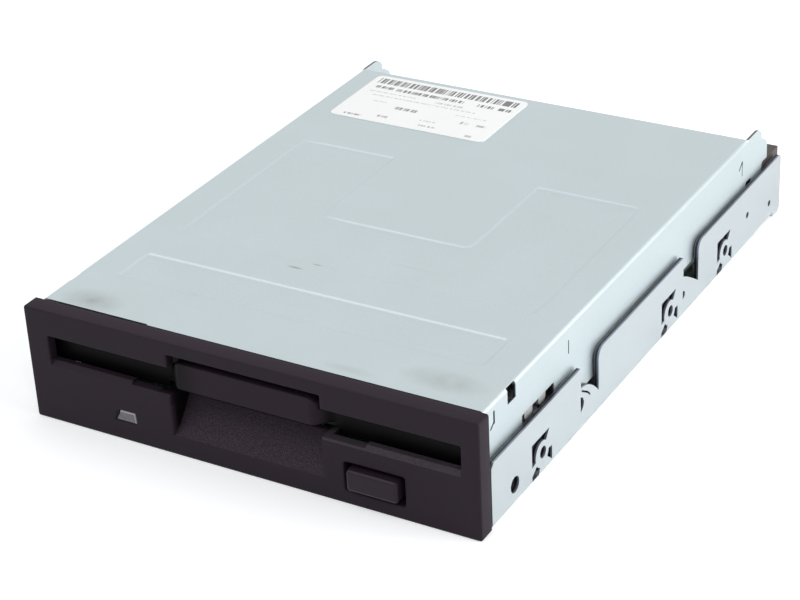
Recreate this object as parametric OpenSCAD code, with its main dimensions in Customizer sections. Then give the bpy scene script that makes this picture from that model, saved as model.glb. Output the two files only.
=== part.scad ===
// Slot-loading 3.5-inch floppy disk drive, one inch high, shown with no disk inside.
// +X is to the right seen from the front, +Y runs from the bezel to the connectors, +Z is up.
// Every sub-part is drawn with y = 0 on the bezel's front face and z = 0 under the bezel;
// the module in_frame() then moves it so that the origin is under the middle of the whole drive.

/* [Envelope] */
// Width of the bezel and of the chassis
drive_w = 101.6; // [101.2:0.1:102]
// Height of the bezel
drive_h = 25.4; // [25.2:0.1:25.6]
// Distance from the bezel's front face to the rear end of the chassis walls
chassis_end_y = 147.7; // [147:0.1:149]

/* [Chassis] */
// Thickness of the chassis steel
chassis_t = 1.0; // [0.8:0.1:1]
// Front edge of the chassis floor and walls
chassis_front_y = 4.2; // [4.2:0.1:4.5]
// Underside of the floor
floor_z = 0.4; // [0.3:0.1:0.5]
// Top edge of the side walls
wall_top_z = 14.3; // [14:0.1:14.4]
// Rear edge of the floor
floor_end_y = 132; // [131:0.5:133]
// Length of the open gaps between the wall's three stretches
wall_gap = 8.05; // [7.5:0.05:8.5]
// Lowest height of the wall's upper edge in a gap, at the gap's rear end
gap_sill_z = 5.1; // [4.8:0.1:5.6]
// Distance from the front face to the first side mounting hole
side_hole_y = 25; // [24.9:0.05:25.1]
// Height of the side mounting holes
side_hole_z = 5.0; // [4.9:0.05:5.1]
// Radius of the M3 thread's core in the side mounting holes
side_hole_r = 1.25; // [1.2:0.05:1.3]

/* [Top cover] */
// Thickness of the cover steel
cover_t = 0.6; // [0.5:0.1:0.6]
// Half width over the cover's flanges
cover_half_w = 49.5; // [49.4:0.05:49.5]
// Height of the cover's top face
cover_top_z = 25.05; // [25:0.05:25.1]
// Front edge of the cover
cover_front_y = 4.6; // [4.6:0.1:4.8]
// Rear edge of the cover's top
cover_rear_y = 129.9; // [129:0.1:131]
// Depth of the two pressed panels
panel_depth = 0.3; // [0.2:0.05:0.3]

/* [Bezel] */
// Depth of the bezel's rim
bezel_d = 3.85; // [3.8:0.05:3.9]
// Thickness of the bezel's front wall
bezel_wall = 2.2; // [2.1:0.1:2.2]
// Radius of the bezel's front edges
bezel_edge_r = 0.4; // [0.3:0.1:0.6]
// Lower edge of the disk slot
slot_low_z = 13.95; // [13.9:0.05:14]
// Upper edge of the disk slot
slot_high_z = 19.6; // [19.5:0.1:19.8]

/* [Loading mechanism] */
// Travel of the eject slider and its button
eject_travel = 4.5; // [4.5:0.1:4.6]
// Drop of the disk holder
holder_drop = 2.5; // [2.4:0.1:2.5]
// Angle through which the upper head arm closes
arm_angle = 8.9; // [8.8:0.1:9]

/* [Spindle and heads] */
// Distance from the front face to the spindle axis
spindle_y = 50; // [49.8:0.1:50.2]
// Distance from the spindle axis to the head at track 0
track0_r = 39.5; // [39.4:0.1:39.6]
// Radius of the rotor
rotor_r = 26; // [25.5:0.1:26]
// Radius of the centre pin of the hub
centre_pin_r = 2.0; // [1.9:0.05:2]

/* [Hidden] */
$fn = 48;

// Box header that sticks out furthest at the rear, and the button that sticks out at the front
header_rear_y = 149.4;
button_front_y = -1.3;
origin_y = (button_front_y + header_rear_y) / 2;

// Chassis
half_w = drive_w / 2;
wall_in = half_w - chassis_t;
floor_top = floor_z + chassis_t;
bend_r = 0.8;
gap_corner_r = 2.5;
gap_front_z = 9.8;
gap_y = [41.65, 91.65];
gap_power = [2, 1.2];
dimple_y = [36.9, 48.3, 98.8, 106.6];
foot_y = 143.7;
side_holes_y = [side_hole_y, side_hole_y + 60, side_hole_y + 90];
collar_len = 1.2;
fork_y = 26.25;
stud_z = 12.5;
stud_r = 1.0;

// Sheet thickness and clearances of the moving plates
sheet = 0.6;
run_fit = 0.05;
gap = 0.3;

// Holder: inner width and heights with the holder up
holder_in = 45.2;
holder_under_z = 18.9;
holder_lip_z = 14.7;
holder_top = holder_under_z + sheet;
holder_front_y = 12.2;
holder_rear_y = 97;
tongue_end_y = 106;
head_gap_half = 12;
pin_z = 16;
pin_y = [39, 79];
pin_r = 1.0;

// Slider
slider_z = 10.3;
slider_t = 0.8;
slider_in = 46.3;
slider_rail_in = 43;
slider_front_y = 20;
slider_rear_y = 88;
post_x = 36;
post_y = [23, 80];
post_neck_r = 1.4;
post_head_r = 2.4;
spring_x = 40.2;
spring_z = 7.4;
spring_hook_y = 28.6;
spring_tab_y = 60;

// Shutter lever
lever_x = 40;
lever_y = 72;
lever_len = 23.5;
lever_a0 = 205;
lever_a1 = 125;

// Spindle stack
board_z = 2.4;
board_t = 1.0;
coil_h = 1.8;
magnet_z = 5.8;
yoke_z = 7.8;
yoke_t = 0.8;
hub_top_z = 12.4;
centre_pin_top = 14.5;
shaft_r = 1.5;
drive_pin_r = 1.2;
drive_pin_at = 10;

// Heads, guide rod and lead screw
head_y = spindle_y + track0_r;
arm_pivot_y = head_y + 30;
arm_pivot_z = 17.1;
arm_t = 1.6;
arm_low_z = 16.3;
media_z = 14.15;
rod_x = -15;
rod_z = 8;
rod_r = 1.5;
screw_x = 17;
screw_z = 9.6;
screw_r = 1.5;
follower_x = screw_x - 4.6;
stepper_r = 8.5;
stepper_y = [118, 133];
clamp_y = [77.5, 124];
clamp_w = 3;

// Main board
pcb_z = 4.6;
pcb_t = 1.6;
pcb_top = pcb_z + pcb_t;
pcb_screws = [[-42.5, 101], [42.5, 104], [-42.5, 127], [42.5, 127]];
motor_screw_at = [[-21, 74.3], [21, 74.3], [0, 19.5]];

// Header: 2 rows of 17 pins
pitch = 2.54;
header_x = [-1.0, 49.3];
header_front_y = 139;
header_z = [6.2, 15.3];
header_cols = 17;
header_mid_x = (header_x[0] + header_x[1]) / 2;
header_mid_z = (header_z[0] + header_z[1]) / 2;
power_x = [-33, -20];
power_z = [6.2, 13.2];
power_pitch = 2.5;
power_mid_x = (power_x[0] + power_x[1]) / 2;

// Front controls
button_x = 28.4;
button_z = 6.2;
button_w = 11.1;
button_h = 4.7;
led_x = [-30.9, -25.8];
led_z = [4.4, 6.8];
door_y = 3.5;
door_z = 21.3;
switch_at = [[-39, 12], [-20, 12], [39, 12]];

// Moves a sub-part from the front-face frame to the drive's own frame
module in_frame() { translate([0, -origin_y, 0]) children(); }

// Box from its two corners
module block(a, b) { translate(a) cube(b - a); }

// Cylinder along Y from y0 to y1
module rod_y(x, z, r, y0, y1) { translate([x, y1, z]) rotate([90, 0, 0]) cylinder(r = r, h = y1 - y0); }

// Cylinder along X from x0 to x1
module rod_x(y, z, r, x0, x1) { translate([x0, y, z]) rotate([0, 90, 0]) cylinder(r = r, h = x1 - x0); }

// Upright cylinder from z0 to z1
module rod_z(x, y, r, z0, z1) { translate([x, y, z0]) cylinder(r = r, h = z1 - z0); }

// Prism along X whose outline is drawn as [y, z] points
module yz_prism(x0, x1) {
    translate([x0, 0, 0]) rotate([90, 0, 90]) linear_extrude(x1 - x0) children();
}

// Prism along Y whose outline is drawn as [x, z] points
module xz_prism(y0, y1) {
    translate([0, y1, 0]) rotate([90, 0, 0]) linear_extrude(y1 - y0) children();
}

// The same shape on the right and on the left
module both_sides() {
    children();
    mirror([1, 0, 0]) children();
}

// Flat rectangle with rounded corners, from its two corner points
module round_rect(a, b, r) {
    translate([a[0] + r, a[1]]) square([b[0] - a[0] - 2 * r, b[1] - a[1]]);
    translate([a[0], a[1] + r]) square([b[0] - a[0], b[1] - a[1] - 2 * r]);
    for (x = [a[0] + r, b[0] - r], y = [a[1] + r, b[1] - r]) translate([x, y]) circle(r);
}

// Flat slot with round ends between two points
module slot_2d(p, q, r) {
    d = q - p;
    translate(p) circle(r);
    translate(q) circle(r);
    translate(p) rotate(atan2(d[1], d[0])) translate([0, -r]) square([norm(d), 2 * r]);
}

// Flat sector of a disc between two angles
module sector(r, a0, a1) {
    polygon(concat([[0, 0]], [for (i = [0:6]) let (a = a0 + (a1 - a0) * i / 6) [r * cos(a), r * sin(a)]]));
}

// Screw with a round head, its head resting on height z
module screw(x, y, z, head_r, head_h, shank_r, length) {
    difference() {
        rod_z(x, y, head_r, z, z + head_h);
        block([x - head_r, y - 0.25, z + head_h * 0.55], [x + head_r, y + 0.25, z + head_h + 1]);
        block([x - 0.25, y - head_r, z + head_h * 0.55], [x + 0.25, y + head_r, z + head_h + 1]);
    }
    rod_z(x, y, shank_r, z - length, z);
}

// Points along an arc, from angle a0 to angle a1
function arc(x, y, r, a0, a1) =
    [for (i = [0:12]) let (a = a0 + (a1 - a0) * i / 12) [x + r * cos(a), y + r * sin(a)]];

// Edge of the wall round gap i, from the stretch behind it to the stretch before it. The sill in
// the gap falls to the rear
function gap_edge(i) = let (y = gap_y[i]) concat(
    arc(y + wall_gap + gap_corner_r, wall_top_z - gap_corner_r, gap_corner_r, 90, 180),
    [for (k = [12:-1:0]) let (t = k / 12)
        [y + wall_gap * t, gap_front_z + (gap_sill_z - gap_front_z) * pow(t, gap_power[i])]],
    [[y, wall_top_z]]);

// Side view of a chassis wall: three stretches, a gap with a sloping sill between them, and the foot
module wall_outline() {
    difference() {
        polygon(concat(
            [[chassis_front_y, floor_z], [floor_end_y, floor_z], [floor_end_y, floor_z + bend_r],
             [foot_y, floor_z + bend_r], [foot_y, 0], [chassis_end_y - 1, 0], [chassis_end_y, 1]],
            arc(chassis_end_y - 1, wall_top_z - 1, 1, 0, 90),
            gap_edge(1), gap_edge(0),
            [[chassis_front_y + 1, wall_top_z], [chassis_front_y, wall_top_z - 1]]));
        translate([gap_y[0], 0])
            polygon([[0.25, 9.35], [0.25, 8.95], [2.9, 7.3], [4.0, 6.15], [4.25, 6.5], [3.0, 7.75]]);
        translate([gap_y[0] - 0.15, 0]) polygon([[0, 4.4], [1.1, 5.1], [1.5, 6.2], [1.0, 7.4], [0, 7.9]]);
        translate([gap_y[1] - 0.15, 0]) polygon([[0, 4.4], [1.0, 4.9], [1.2, 5.6], [0.8, 6.2], [0, 6.4]]);
        translate([13.3, 4.66]) circle(1.7);
        translate([127.7, 7.8]) circle(0.75);
        translate([141.2, 4.6]) circle(0.75);
    }
}

// Openings around one side mounting hole, which leave a round pad on three spokes
module mount_pad_openings() {
    half_y = 4.2;
    half_z = 4.1;
    pad_r = 2.75;
    difference() {
        intersection() {
            translate([-half_y, -half_z]) square([2 * half_y, 2 * half_z]);
            union() {
                sector(8, 52, 192);
                sector(8, -40, -6);
                sector(8, 214, 250);
            }
        }
        circle(pad_r);
    }
}

// Side view of the tray in front of the floor's rear edge
module floor_and_wall() {
    intersection() {
        wall_outline();
        translate([0, floor_z]) square([floor_end_y, drive_h]);
    }
}

// Side view of the walls behind the floor's rear edge, with their feet
module rear_wall() {
    intersection() {
        wall_outline();
        union() {
            translate([floor_end_y - 0.5, floor_z + bend_r]) square([30, 30]);
            translate([foot_y - 0.5, -1]) square([30, 30]);
        }
    }
}

module chassis() {
    color("silver") in_frame() {
        difference() {
            union() {
                intersection() {
                    xz_prism(chassis_front_y - 1, floor_end_y) difference() {
                        round_rect([-half_w, floor_z], [half_w, wall_top_z + 5], bend_r);
                        translate([-wall_in, floor_top]) square([2 * wall_in, drive_h]);
                    }
                    yz_prism(-half_w - 1, half_w + 1) floor_and_wall();
                }
                both_sides() yz_prism(wall_in, half_w) rear_wall();
                both_sides() {
                    rod_x(fork_y, stud_z, stud_r, 47.7, wall_in + 0.2);
                    for (y = side_holes_y) rod_x(y, side_hole_z, 2.1, wall_in - collar_len, wall_in + 0.1);
                    rod_z(spring_x, spring_hook_y, 0.7, floor_top - 0.1, 8.9);
                    block([44.5, 139.2, 3.6], [wall_in + 0.1, 143, pcb_z]);
                }
                for (p = pcb_screws) rod_z(p[0], p[1], 3, floor_top - 0.1, pcb_z);
                for (p = motor_screw_at) rod_z(p[0], p[1], 3, floor_top - 0.1, board_z);
                for (y = clamp_y) block([-23, y, floor_top - 0.1], [-12, y + clamp_w, rod_z - rod_r]);
            }
            both_sides() for (y = side_holes_y) {
                rod_x(y, side_hole_z, side_hole_r, wall_in - collar_len - 1, half_w + 1);
                yz_prism(wall_in - 1.5, half_w + 1) translate([y - 0.4, side_hole_z - 0.15]) difference() {
                    mount_pad_openings();
                    translate([0.4, 0.15]) circle(2.3);
                }
            }
            both_sides() block([33, 5.6, 0], [37, 7.4, floor_top + 1]);
            both_sides() for (y = dimple_y)
                block([half_w - 0.45, y - 0.3, floor_z + 0.25], [half_w + 1, y + 0.3, floor_z + 0.7]);
            for (p = pcb_screws) rod_z(p[0], p[1], 1.15, floor_z - 1, pcb_z + 1);
            for (p = motor_screw_at) rod_z(p[0], p[1], 1.15, floor_z - 1, board_z + 1);
            for (y = clamp_y) rod_z(-20.5, y + clamp_w / 2, 1.15, floor_z - 1, rod_z);
            for (y = [88, 110]) rod_z(screw_x, y, 1.15, floor_z - 1, 3);
            rod_z(0, spindle_y, 7, floor_z - 1, floor_top + 1);
            block([screw_x - 5.5, 117, 0], [screw_x + 5.5, floor_end_y + 1, floor_top + 1]);
        }
    }
}

// Cross-section of the cover: top sheet with a flange bent down on each side
module cover_section(low_z) {
    r = 0.9;
    difference() {
        round_rect([-cover_half_w, low_z], [cover_half_w, cover_top_z], r);
        difference() {
            translate([-cover_half_w + cover_t, low_z - 2])
                square([2 * (cover_half_w - cover_t), cover_top_z - cover_t - low_z + 2]);
            both_sides() translate([cover_half_w - r, cover_top_z - r]) difference() {
                square(r);
                circle(r - cover_t);
            }
        }
        translate([-cover_half_w - 1, low_z - 1]) square([2 * cover_half_w + 2, 1 + r]);
    }
}

// Outline of the two pressed panels, seen from above
module panel_outline() {
    round_rect([-41.8, 18.5], [42.2, 29.8], 1);
    difference() {
        round_rect([-41.5, 39.7], [42.2, 90.2], 1.5);
        translate([-17.3, 60.8]) square([34.7, 40]);
        round_rect([-17.3, 59.3], [17.4, 80], 1.5);
    }
}

module top_cover() {
    fin = [[128, 9.8], [138.5, 9.8], [138.7, 13.4], [138.8, 15.1], [139, 15.6], [139.5, 15.8],
           [141.9, 15.7], [141.9, 19], [141.4, 20.2], [140.1, 21], [138.9, 21.4], [138.4, 22],
           [138.1, 23.4], [137.5, 24], [136.4, 24.7], [135.3, 24.9], [128, 24.9]];
    color("gainsboro") in_frame() difference() {
        union() {
            xz_prism(cover_front_y, 70) cover_section(7.0);
            xz_prism(70, cover_rear_y) cover_section(8.9);
            both_sides() yz_prism(cover_half_w - cover_t, cover_half_w) polygon(fin);
            translate([0, 0, cover_top_z - cover_t - panel_depth])
                linear_extrude(cover_t) panel_outline();
        }
        translate([0, 0, cover_top_z - panel_depth]) linear_extrude(1) panel_outline();
        block([-cover_half_w - 1, 0, 20], [-24.2, cover_front_y + 0.3, 30]);
        both_sides() {
            block([48.2, 13.6, 21.5], [50, 16.85, 24.3]);
            block([49.1, 13.6, 24.2], [50, 16.85, 26]);
            yz_prism(cover_half_w - 0.8, cover_half_w + 1) {
                translate([7.95, 20.5]) square([0.6, 2.8]);
                slot_2d([6.9, 20.7], [7.8, 20.0], 0.2);
                round_rect([19.2, 5], [32.5, 16.05], 0.2);
                translate([38.85, 18.8]) square([0.35, 3]);
                translate([126.85, 17.4]) square([0.35, 3.5]);
                slot_2d([125.3, 19.6], [126.9, 21], 0.2);
                round_rect([129.3, 11.6], [132.4, 13.5], 0.4);
                translate([139.9, 20.4]) circle(0.3);
            }
        }
    }
}

module spec_label() {
    color("white") in_frame() translate([0, 0, cover_top_z]) linear_extrude(0.1)
        round_rect([-43.6, 104.5], [-3.5, 128.3], 1.5);
}

// Lower part of the finger recess in side view: a concave slope from the front face up to the slot
slope = [for (i = [0:16]) let (t = i / 16) [6 * t, 4.2 + 6.9 * (0.62 * t + 0.38 * t * t)]];

module front_bezel() {
    r = bezel_edge_r;
    color("#2e2a2e") in_frame() difference() {
        union() {
            difference() {
                intersection() {
                    xz_prism(0, bezel_d) round_rect([-half_w, 0], [half_w, drive_h], r);
                    translate([0, 0, -1]) linear_extrude(drive_h + 2) union() {
                        round_rect([-half_w, 0], [half_w, bezel_d], r);
                        translate([-half_w, r]) square([drive_w, bezel_d - r]);
                    }
                    yz_prism(-half_w - 1, half_w + 1) union() {
                        round_rect([0, 0], [bezel_d, drive_h], r);
                        translate([r, 0]) square([bezel_d - r, drive_h]);
                    }
                }
                block([-half_w + 1.6, bezel_wall, 1.6], [half_w - 1.6, bezel_d + 1, drive_h - 1.6]);
            }
            block([-18.2, bezel_wall - 0.1, 3.4], [18.7, 4.6, 7.2]);
            block([-18.2, bezel_wall - 0.1, 7.1], [18.7, 7.0, 13.4]);
            block([20.8, bezel_wall - 0.1, 2.0], [36, 3.3, 10.4]);
            block([-32, bezel_wall - 0.1, 3.4], [-24.7, bezel_d, 7.8]);
            both_sides() {
                block([47.3, bezel_wall - 0.1, 19.8], [48.6, 9.4, 23.6]);
                block([31, bezel_wall - 0.1, floor_top + 0.15], [39, 7.8, floor_top + 0.9]);
                block([33.3, 5.9, floor_z + 0.3], [36.7, 7.1, floor_top + 0.5]);
            }
        }
        block([-45.6, -1, slot_low_z], [46.85, bezel_d + 1, slot_high_z]);
        block([-26.2, -1, 13.4], [26.7, bezel_d + 1, slot_low_z + 0.1]);
        yz_prism(-45.6, 46.85)
            polygon([[-1, slot_low_z - 1.95], [0.95, slot_low_z],
                     [0.95, slot_low_z + 1], [-1, slot_low_z + 1]]);
        block([-16.8, -1, slot_high_z - 0.1], [17.2, bezel_d + 1, 22.5]);
        yz_prism(-16.9, 17.4) polygon(concat([[-1, 4.2]], slope, [[8, 11.1], [8, 16], [-1, 16]]));
        block([21.9, -1, 3.0], [34.9, bezel_d + 1, 9.4]);
        xz_prism(-1, bezel_d + 1)
            polygon([[led_x[0] - 0.05, led_z[0] - 0.05], [led_x[1] + 0.05, led_z[0] - 0.05],
                     [led_x[1] - 0.15, led_z[1] + 0.05], [led_x[0] + 1.25, led_z[1] + 0.05]]);
        both_sides() rod_x(door_y, door_z, 0.75, 47, 49);
    }
}

// Front outline of the door from above: flat in the middle, then an S-curve back to the wings
function bulge(x) =
    let (t = min(1, max(0, (abs(x) - 14) / 5))) 0.45 + 3.15 * (0.5 - 0.5 * cos(180 * t));

module dust_door() {
    wing_y = 3.6;
    wing_t = 0.8;
    low_z = 14.3;
    half = 47;
    color("#262226") in_frame() difference() {
        union() {
            block([-half, wing_y, low_z], [half, wing_y + wing_t, 20.7]);
            for (x = [[-half, -19.3], [19.8, half]])
                block([x[0], wing_y, 12.9], [x[1], wing_y + wing_t, low_z + 1]);
            rod_x(door_y, door_z, 0.68, -48.2, 48.2);
            block([-38, wing_y - 0.2, 20.4], [46, wing_y + wing_t, door_z]);
            intersection() {
                translate([0, 0, 15.1]) linear_extrude(8)
                    polygon(concat([for (i = [-19:19]) [i, bulge(i)]],
                                   [[19, wing_y + 0.4], [-19, wing_y + 0.4]]));
                yz_prism(-20, 20) union() {
                    round_rect([0.45, 14], [5, 21.35], 0.6);
                    translate([2, 14]) square([3, 7.35]);
                }
                xz_prism(0, wing_y + 1) union() {
                    round_rect([-16.5, 14], [16.5, 21.4], 2.5);
                    translate([-20, 14]) square([40, 4.8]);
                }
            }
        }
        intersection() {
            translate([0, 0, 14]) linear_extrude(6.2)
                polygon(concat([for (i = [-15:15]) [i, bulge(i) + 0.9]], [[15, 8], [-15, 8]]));
            block([-15, 0, 14], [15, wing_y + 0.01, 20.2]);
        }
        block([-45.2, 2, 19], [-39.8, 5, 20.9]);
    }
}

module dust_door_spring() {
    color("dimgray") in_frame() {
        difference() {
            rod_x(door_y, door_z, 1.22, -44.4, -41);
            rod_x(door_y, door_z, 0.8, -45, -40);
        }
        block([-41.4, door_y - 1.2, door_z + 0.9], [-41, door_y - 0.8, 23.5]);
    }
}

module eject_button() {
    r = 0.8;
    color("#2e2a2e") in_frame() {
        intersection() {
            xz_prism(button_front_y, 7.2)
                round_rect([button_x - button_w / 2, button_z - button_h / 2],
                           [button_x + button_w / 2, button_z + button_h / 2], r);
            linear_extrude(20)
                round_rect([button_x - button_w / 2, button_front_y], [button_x + button_w / 2, 9], r);
            yz_prism(20, 40)
                round_rect([button_front_y, button_z - button_h / 2], [9, button_z + button_h / 2], r);
        }
        block([button_x - 2.6, 7.1, button_z - 1.6], [button_x + 2.6, 8.2, button_z + 1.6]);
    }
}

module indicator_led() {
    color("#c8c8c4") in_frame() {
        xz_prism(0.05, 4.2) polygon([[led_x[0], led_z[0]], [led_x[1], led_z[0]],
                                     [led_x[1] - 0.2, led_z[1]], [led_x[0] + 1.3, led_z[1]]]);
        block([led_x[0] - 0.3, 4.1, led_z[0] - 0.4], [led_x[1] + 0.3, 6.4, led_z[1] + 0.5]);
    }
}

module led_leads() {
    color("silver") in_frame() for (dx = [-1.27, 1.27]) {
        x = (led_x[0] + led_x[1]) / 2 + dx;
        block([x - 0.25, 6.4, 5.3], [x + 0.25, 10.5, 5.8]);
        block([x - 0.25, 10, board_z + board_t], [x + 0.25, 10.5, 5.8]);
    }
}

module disk_holder() {
    fork_out = 48.7;
    color("lightgray") in_frame() difference() {
        union() {
            block([-holder_in - sheet, holder_front_y, holder_under_z],
                  [holder_in + sheet, holder_rear_y, holder_top]);
            both_sides() {
                block([holder_in, holder_front_y, holder_lip_z - sheet], [holder_in + sheet, 93, holder_top]);
                block([42.4, holder_front_y + 1, holder_lip_z - sheet], [holder_in + 0.1, 34, holder_lip_z]);
                block([42.4, 62, holder_lip_z - sheet], [holder_in + 0.1, 91, holder_lip_z]);
                block([44, 21.7, holder_under_z], [fork_out, 30.5, holder_top]);
                yz_prism(fork_out - sheet, fork_out) {
                    translate([21.7, 16.4]) square([8.8, holder_top - 16.4]);
                    for (p = [[21.7, 25.0], [27.5, 30.5]]) round_rect([p[0], 13.2], [p[1], 17], 0.9);
                }
            }
            for (x = [[-16.5, -head_gap_half], [head_gap_half, 16.5]])
                block([x[0], holder_rear_y - 1, holder_under_z], [x[1], tongue_end_y, holder_top]);
        }
        translate([0, 0, holder_under_z - 1]) linear_extrude(3) {
            round_rect([-head_gap_half, 67], [head_gap_half, 120], 2);
            round_rect([-33, 24], [-19, 50], 2);
            round_rect([19, 24], [33, 46], 2);
            difference() {
                translate([lever_x, lever_y]) sector(lever_len + 2.2, lever_a1 - 6, lever_a0 + 4);
                translate([lever_x, lever_y]) circle(lever_len - 2.2);
            }
        }
        translate([lever_x, lever_y, holder_under_z - 1]) cylinder(r = 1.25, h = 4);
    }
}

module holder_pins() {
    color("gray") in_frame() both_sides() for (y = pin_y) {
        rod_x(y, pin_z, pin_r, holder_in + sheet, 47.6);
    }
}

module eject_slider() {
    plate_top = slider_z + slider_t;
    path = [eject_travel, -holder_drop];
    color("darkgray") in_frame() difference() {
        union() {
            block([-slider_in - 0.7, slider_front_y, slider_z],
                  [slider_in + 0.7, slider_front_y + 10.5, plate_top]);
            block([23.5, 9.0, slider_z], [33.3, slider_front_y + 1, plate_top]);
            block([25.2, 8.2, 4.2], [31.6, 9.0, plate_top]);
            both_sides() {
                block([slider_rail_in, slider_front_y, slider_z],
                      [slider_in + 0.7, slider_rear_y, plate_top]);
                block([33, 76, slider_z], [slider_rail_in + 1, slider_rear_y, plate_top]);
                block([38.6, spring_tab_y - 1.6, slider_z],
                      [slider_rail_in + 1, spring_tab_y + 1.6, plate_top]);
                block([38.6, spring_tab_y, 5.8], [42, spring_tab_y + slider_t, plate_top]);
                for (y = pin_y) block([slider_in, y - 2.6, slider_z], [slider_in + 0.7, y + 7.2, 18.2]);
            }
        }
        both_sides() {
            for (y = pin_y) yz_prism(slider_in - 1, slider_in + 2)
                slot_2d([y, pin_z], [y, pin_z] + path, pin_r + 0.12);
            for (y = post_y) translate([0, 0, slider_z - 1]) linear_extrude(3)
                slot_2d([post_x, y], [post_x, y + eject_travel], post_neck_r + 0.15);
        }
    }
}

module slider_springs() {
    coil_y = [36, 57];
    eye_x = 1.25;
    color("dimgray") in_frame() both_sides() {
        difference() {
            rod_y(spring_x, spring_z, 1.6, coil_y[0], coil_y[1]);
            rod_y(spring_x, spring_z, 1.25, coil_y[0] + 0.4, coil_y[1] - 0.4);
        }
        rod_y(spring_x, spring_z, 0.3, coil_y[1] - 0.1, spring_tab_y);
        for (dx = [-eye_x, eye_x]) rod_y(spring_x + dx, spring_z, 0.25, spring_hook_y, coil_y[0] + 0.1);
        intersection() {
            translate([spring_x, spring_hook_y, spring_z])
                rotate_extrude() translate([eye_x, 0]) circle(0.25);
            block([spring_x - 3, spring_hook_y - 3, 0], [spring_x + 3, spring_hook_y, 20]);
        }
    }
}

module slider_guide_posts() {
    neck_z = slider_z - 0.2;
    head_z = slider_z + slider_t + 0.2;
    color("gray") in_frame() both_sides() for (y = post_y) {
        rod_z(post_x, y, 2.2, floor_top, neck_z);
        rod_z(post_x, y, post_neck_r, neck_z - 0.1, head_z + 0.1);
        rod_z(post_x, y, post_head_r, head_z, head_z + 0.6);
    }
}

module datum_posts() {
    top = 12.4;
    color("gray") in_frame() both_sides() for (p = [[34, 33], [39.5, 90.5]]) {
        rod_z(p[0], p[1], 1.8, floor_top, top);
        if (p[1] > 60) translate([p[0], p[1], top - 0.1]) cylinder(r1 = 1.2, r2 = 0.8, h = 1.5);
    }
}

module shutter_lever() {
    z = holder_top + gap + 0.1;
    t = 0.8;
    color("#3a3a3e") in_frame() translate([lever_x, lever_y, 0]) difference() {
        union() {
            rod_z(0, 0, 3.2, z, z + t);
            rod_z(0, 0, 2.2, z + t - 0.1, z + 2.4);
            rotate(lever_a0) {
                translate([0, 0, z + 0.05]) linear_extrude(t - 0.1)
                    polygon([[0, -2.9], [0, 2.9], [lever_len + 2, 2], [lever_len + 2, -2]]);
                rod_z(lever_len, 0, 1.4, 15.6, z + 0.4);
            }
        }
        rod_z(0, 0, 1.2 + run_fit, z - 1, z + 4);
    }
}

module lever_pivot() {
    z = holder_top;
    color("silver") in_frame() {
        rod_z(lever_x, lever_y, 1.2, holder_under_z, z + 3);
        rod_z(lever_x, lever_y, 2.4, z, z + 0.3);
        rod_z(lever_x, lever_y, 2.0, z + 3, z + 3.5);
    }
}

module lever_spring() {
    z = holder_top + gap + 1.2;
    color("dimgray") in_frame() {
        difference() {
            rod_z(lever_x, lever_y, 3.1, z, z + 1.2);
            rod_z(lever_x, lever_y, 2.6, z - 1, z + 2);
        }
        block([lever_x + 2.7, lever_y, z], [lever_x + 3.1, lever_y + 8, z + 0.4]);
        block([lever_x + 2.7, lever_y + 7.6, holder_top], [lever_x + 3.1, lever_y + 8, z + 0.4]);
    }
}

module motor_board() {
    color("#1f5f3a") in_frame() translate([0, 0, board_z]) linear_extrude(board_t) difference() {
        union() {
            round_rect([-43.5, 8.6], [43.5, 17], 1);
            round_rect([-31, 10], [31, 77], 2);
        }
        translate([0, spindle_y]) circle(4.55);
        for (p = motor_screw_at) translate(p) circle(1.4);
    }
}

module motor_coils() {
    z = board_z + board_t;
    ring_r = 15.5;
    color("#b5652a") in_frame() for (a = [30:60:330])
        translate([ring_r * cos(a), spindle_y + ring_r * sin(a), z]) difference() {
            cylinder(r = 6.4, h = coil_h);
            translate([0, 0, -1]) cylinder(r = 2.6, h = coil_h + 2);
        }
}

module motor_screws() {
    color("silver") in_frame() for (p = motor_screw_at)
        screw(p[0], p[1], board_z + board_t, 2.2, 1.2, 1.1, board_t + 1.6);
}

module spindle_bearing() {
    color("goldenrod") in_frame() difference() {
        union() {
            rod_z(0, spindle_y, 4.5, board_z - 0.1, 7.2);
            rod_z(0, spindle_y, 6.2, floor_z + 0.4, board_z);
        }
        rod_z(0, spindle_y, shaft_r + 0.04, 1.4, 8);
    }
}

module spindle_rotor() {
    color("darkgray") in_frame() difference() {
        rod_z(0, spindle_y, rotor_r, 4.5, yoke_z + yoke_t);
        rod_z(0, spindle_y, rotor_r - 0.8, 4, yoke_z);
        rod_z(0, spindle_y, 5.02, 4, 10);
    }
}

module rotor_magnet() {
    color("#39393c") in_frame() difference() {
        rod_z(0, spindle_y, rotor_r - 1, magnet_z, yoke_z);
        rod_z(0, spindle_y, 9, magnet_z - 1, yoke_z + 1);
    }
}

module spindle_hub() {
    seat_z = 11.2;
    r = centre_pin_r;
    color("#c9a55c") in_frame() difference() {
        translate([0, spindle_y, 0]) rotate_extrude() polygon([
            [0, 1.6], [shaft_r, 1.6], [shaft_r, 7.6], [5, 7.6], [5, 8.65], [14.5, 9.6], [14.5, hub_top_z],
            [13.3, hub_top_z], [13.3, seat_z], [4.6, seat_z], [4.6, hub_top_z], [r, hub_top_z],
            [r, centre_pin_top - 0.6], [r - 0.6, centre_pin_top], [0, centre_pin_top]]);
        rod_z(drive_pin_at, spindle_y, drive_pin_r + run_fit, 9.9, hub_top_z + 1);
    }
}

module hub_magnet() {
    color("#39393c") in_frame() difference() {
        rod_z(0, spindle_y, 13.2, 11.2, hub_top_z - 0.15);
        rod_z(0, spindle_y, 4.7, 10, hub_top_z + 1);
        rod_z(drive_pin_at, spindle_y, drive_pin_r + 0.4, 10, hub_top_z + 1);
    }
}

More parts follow.
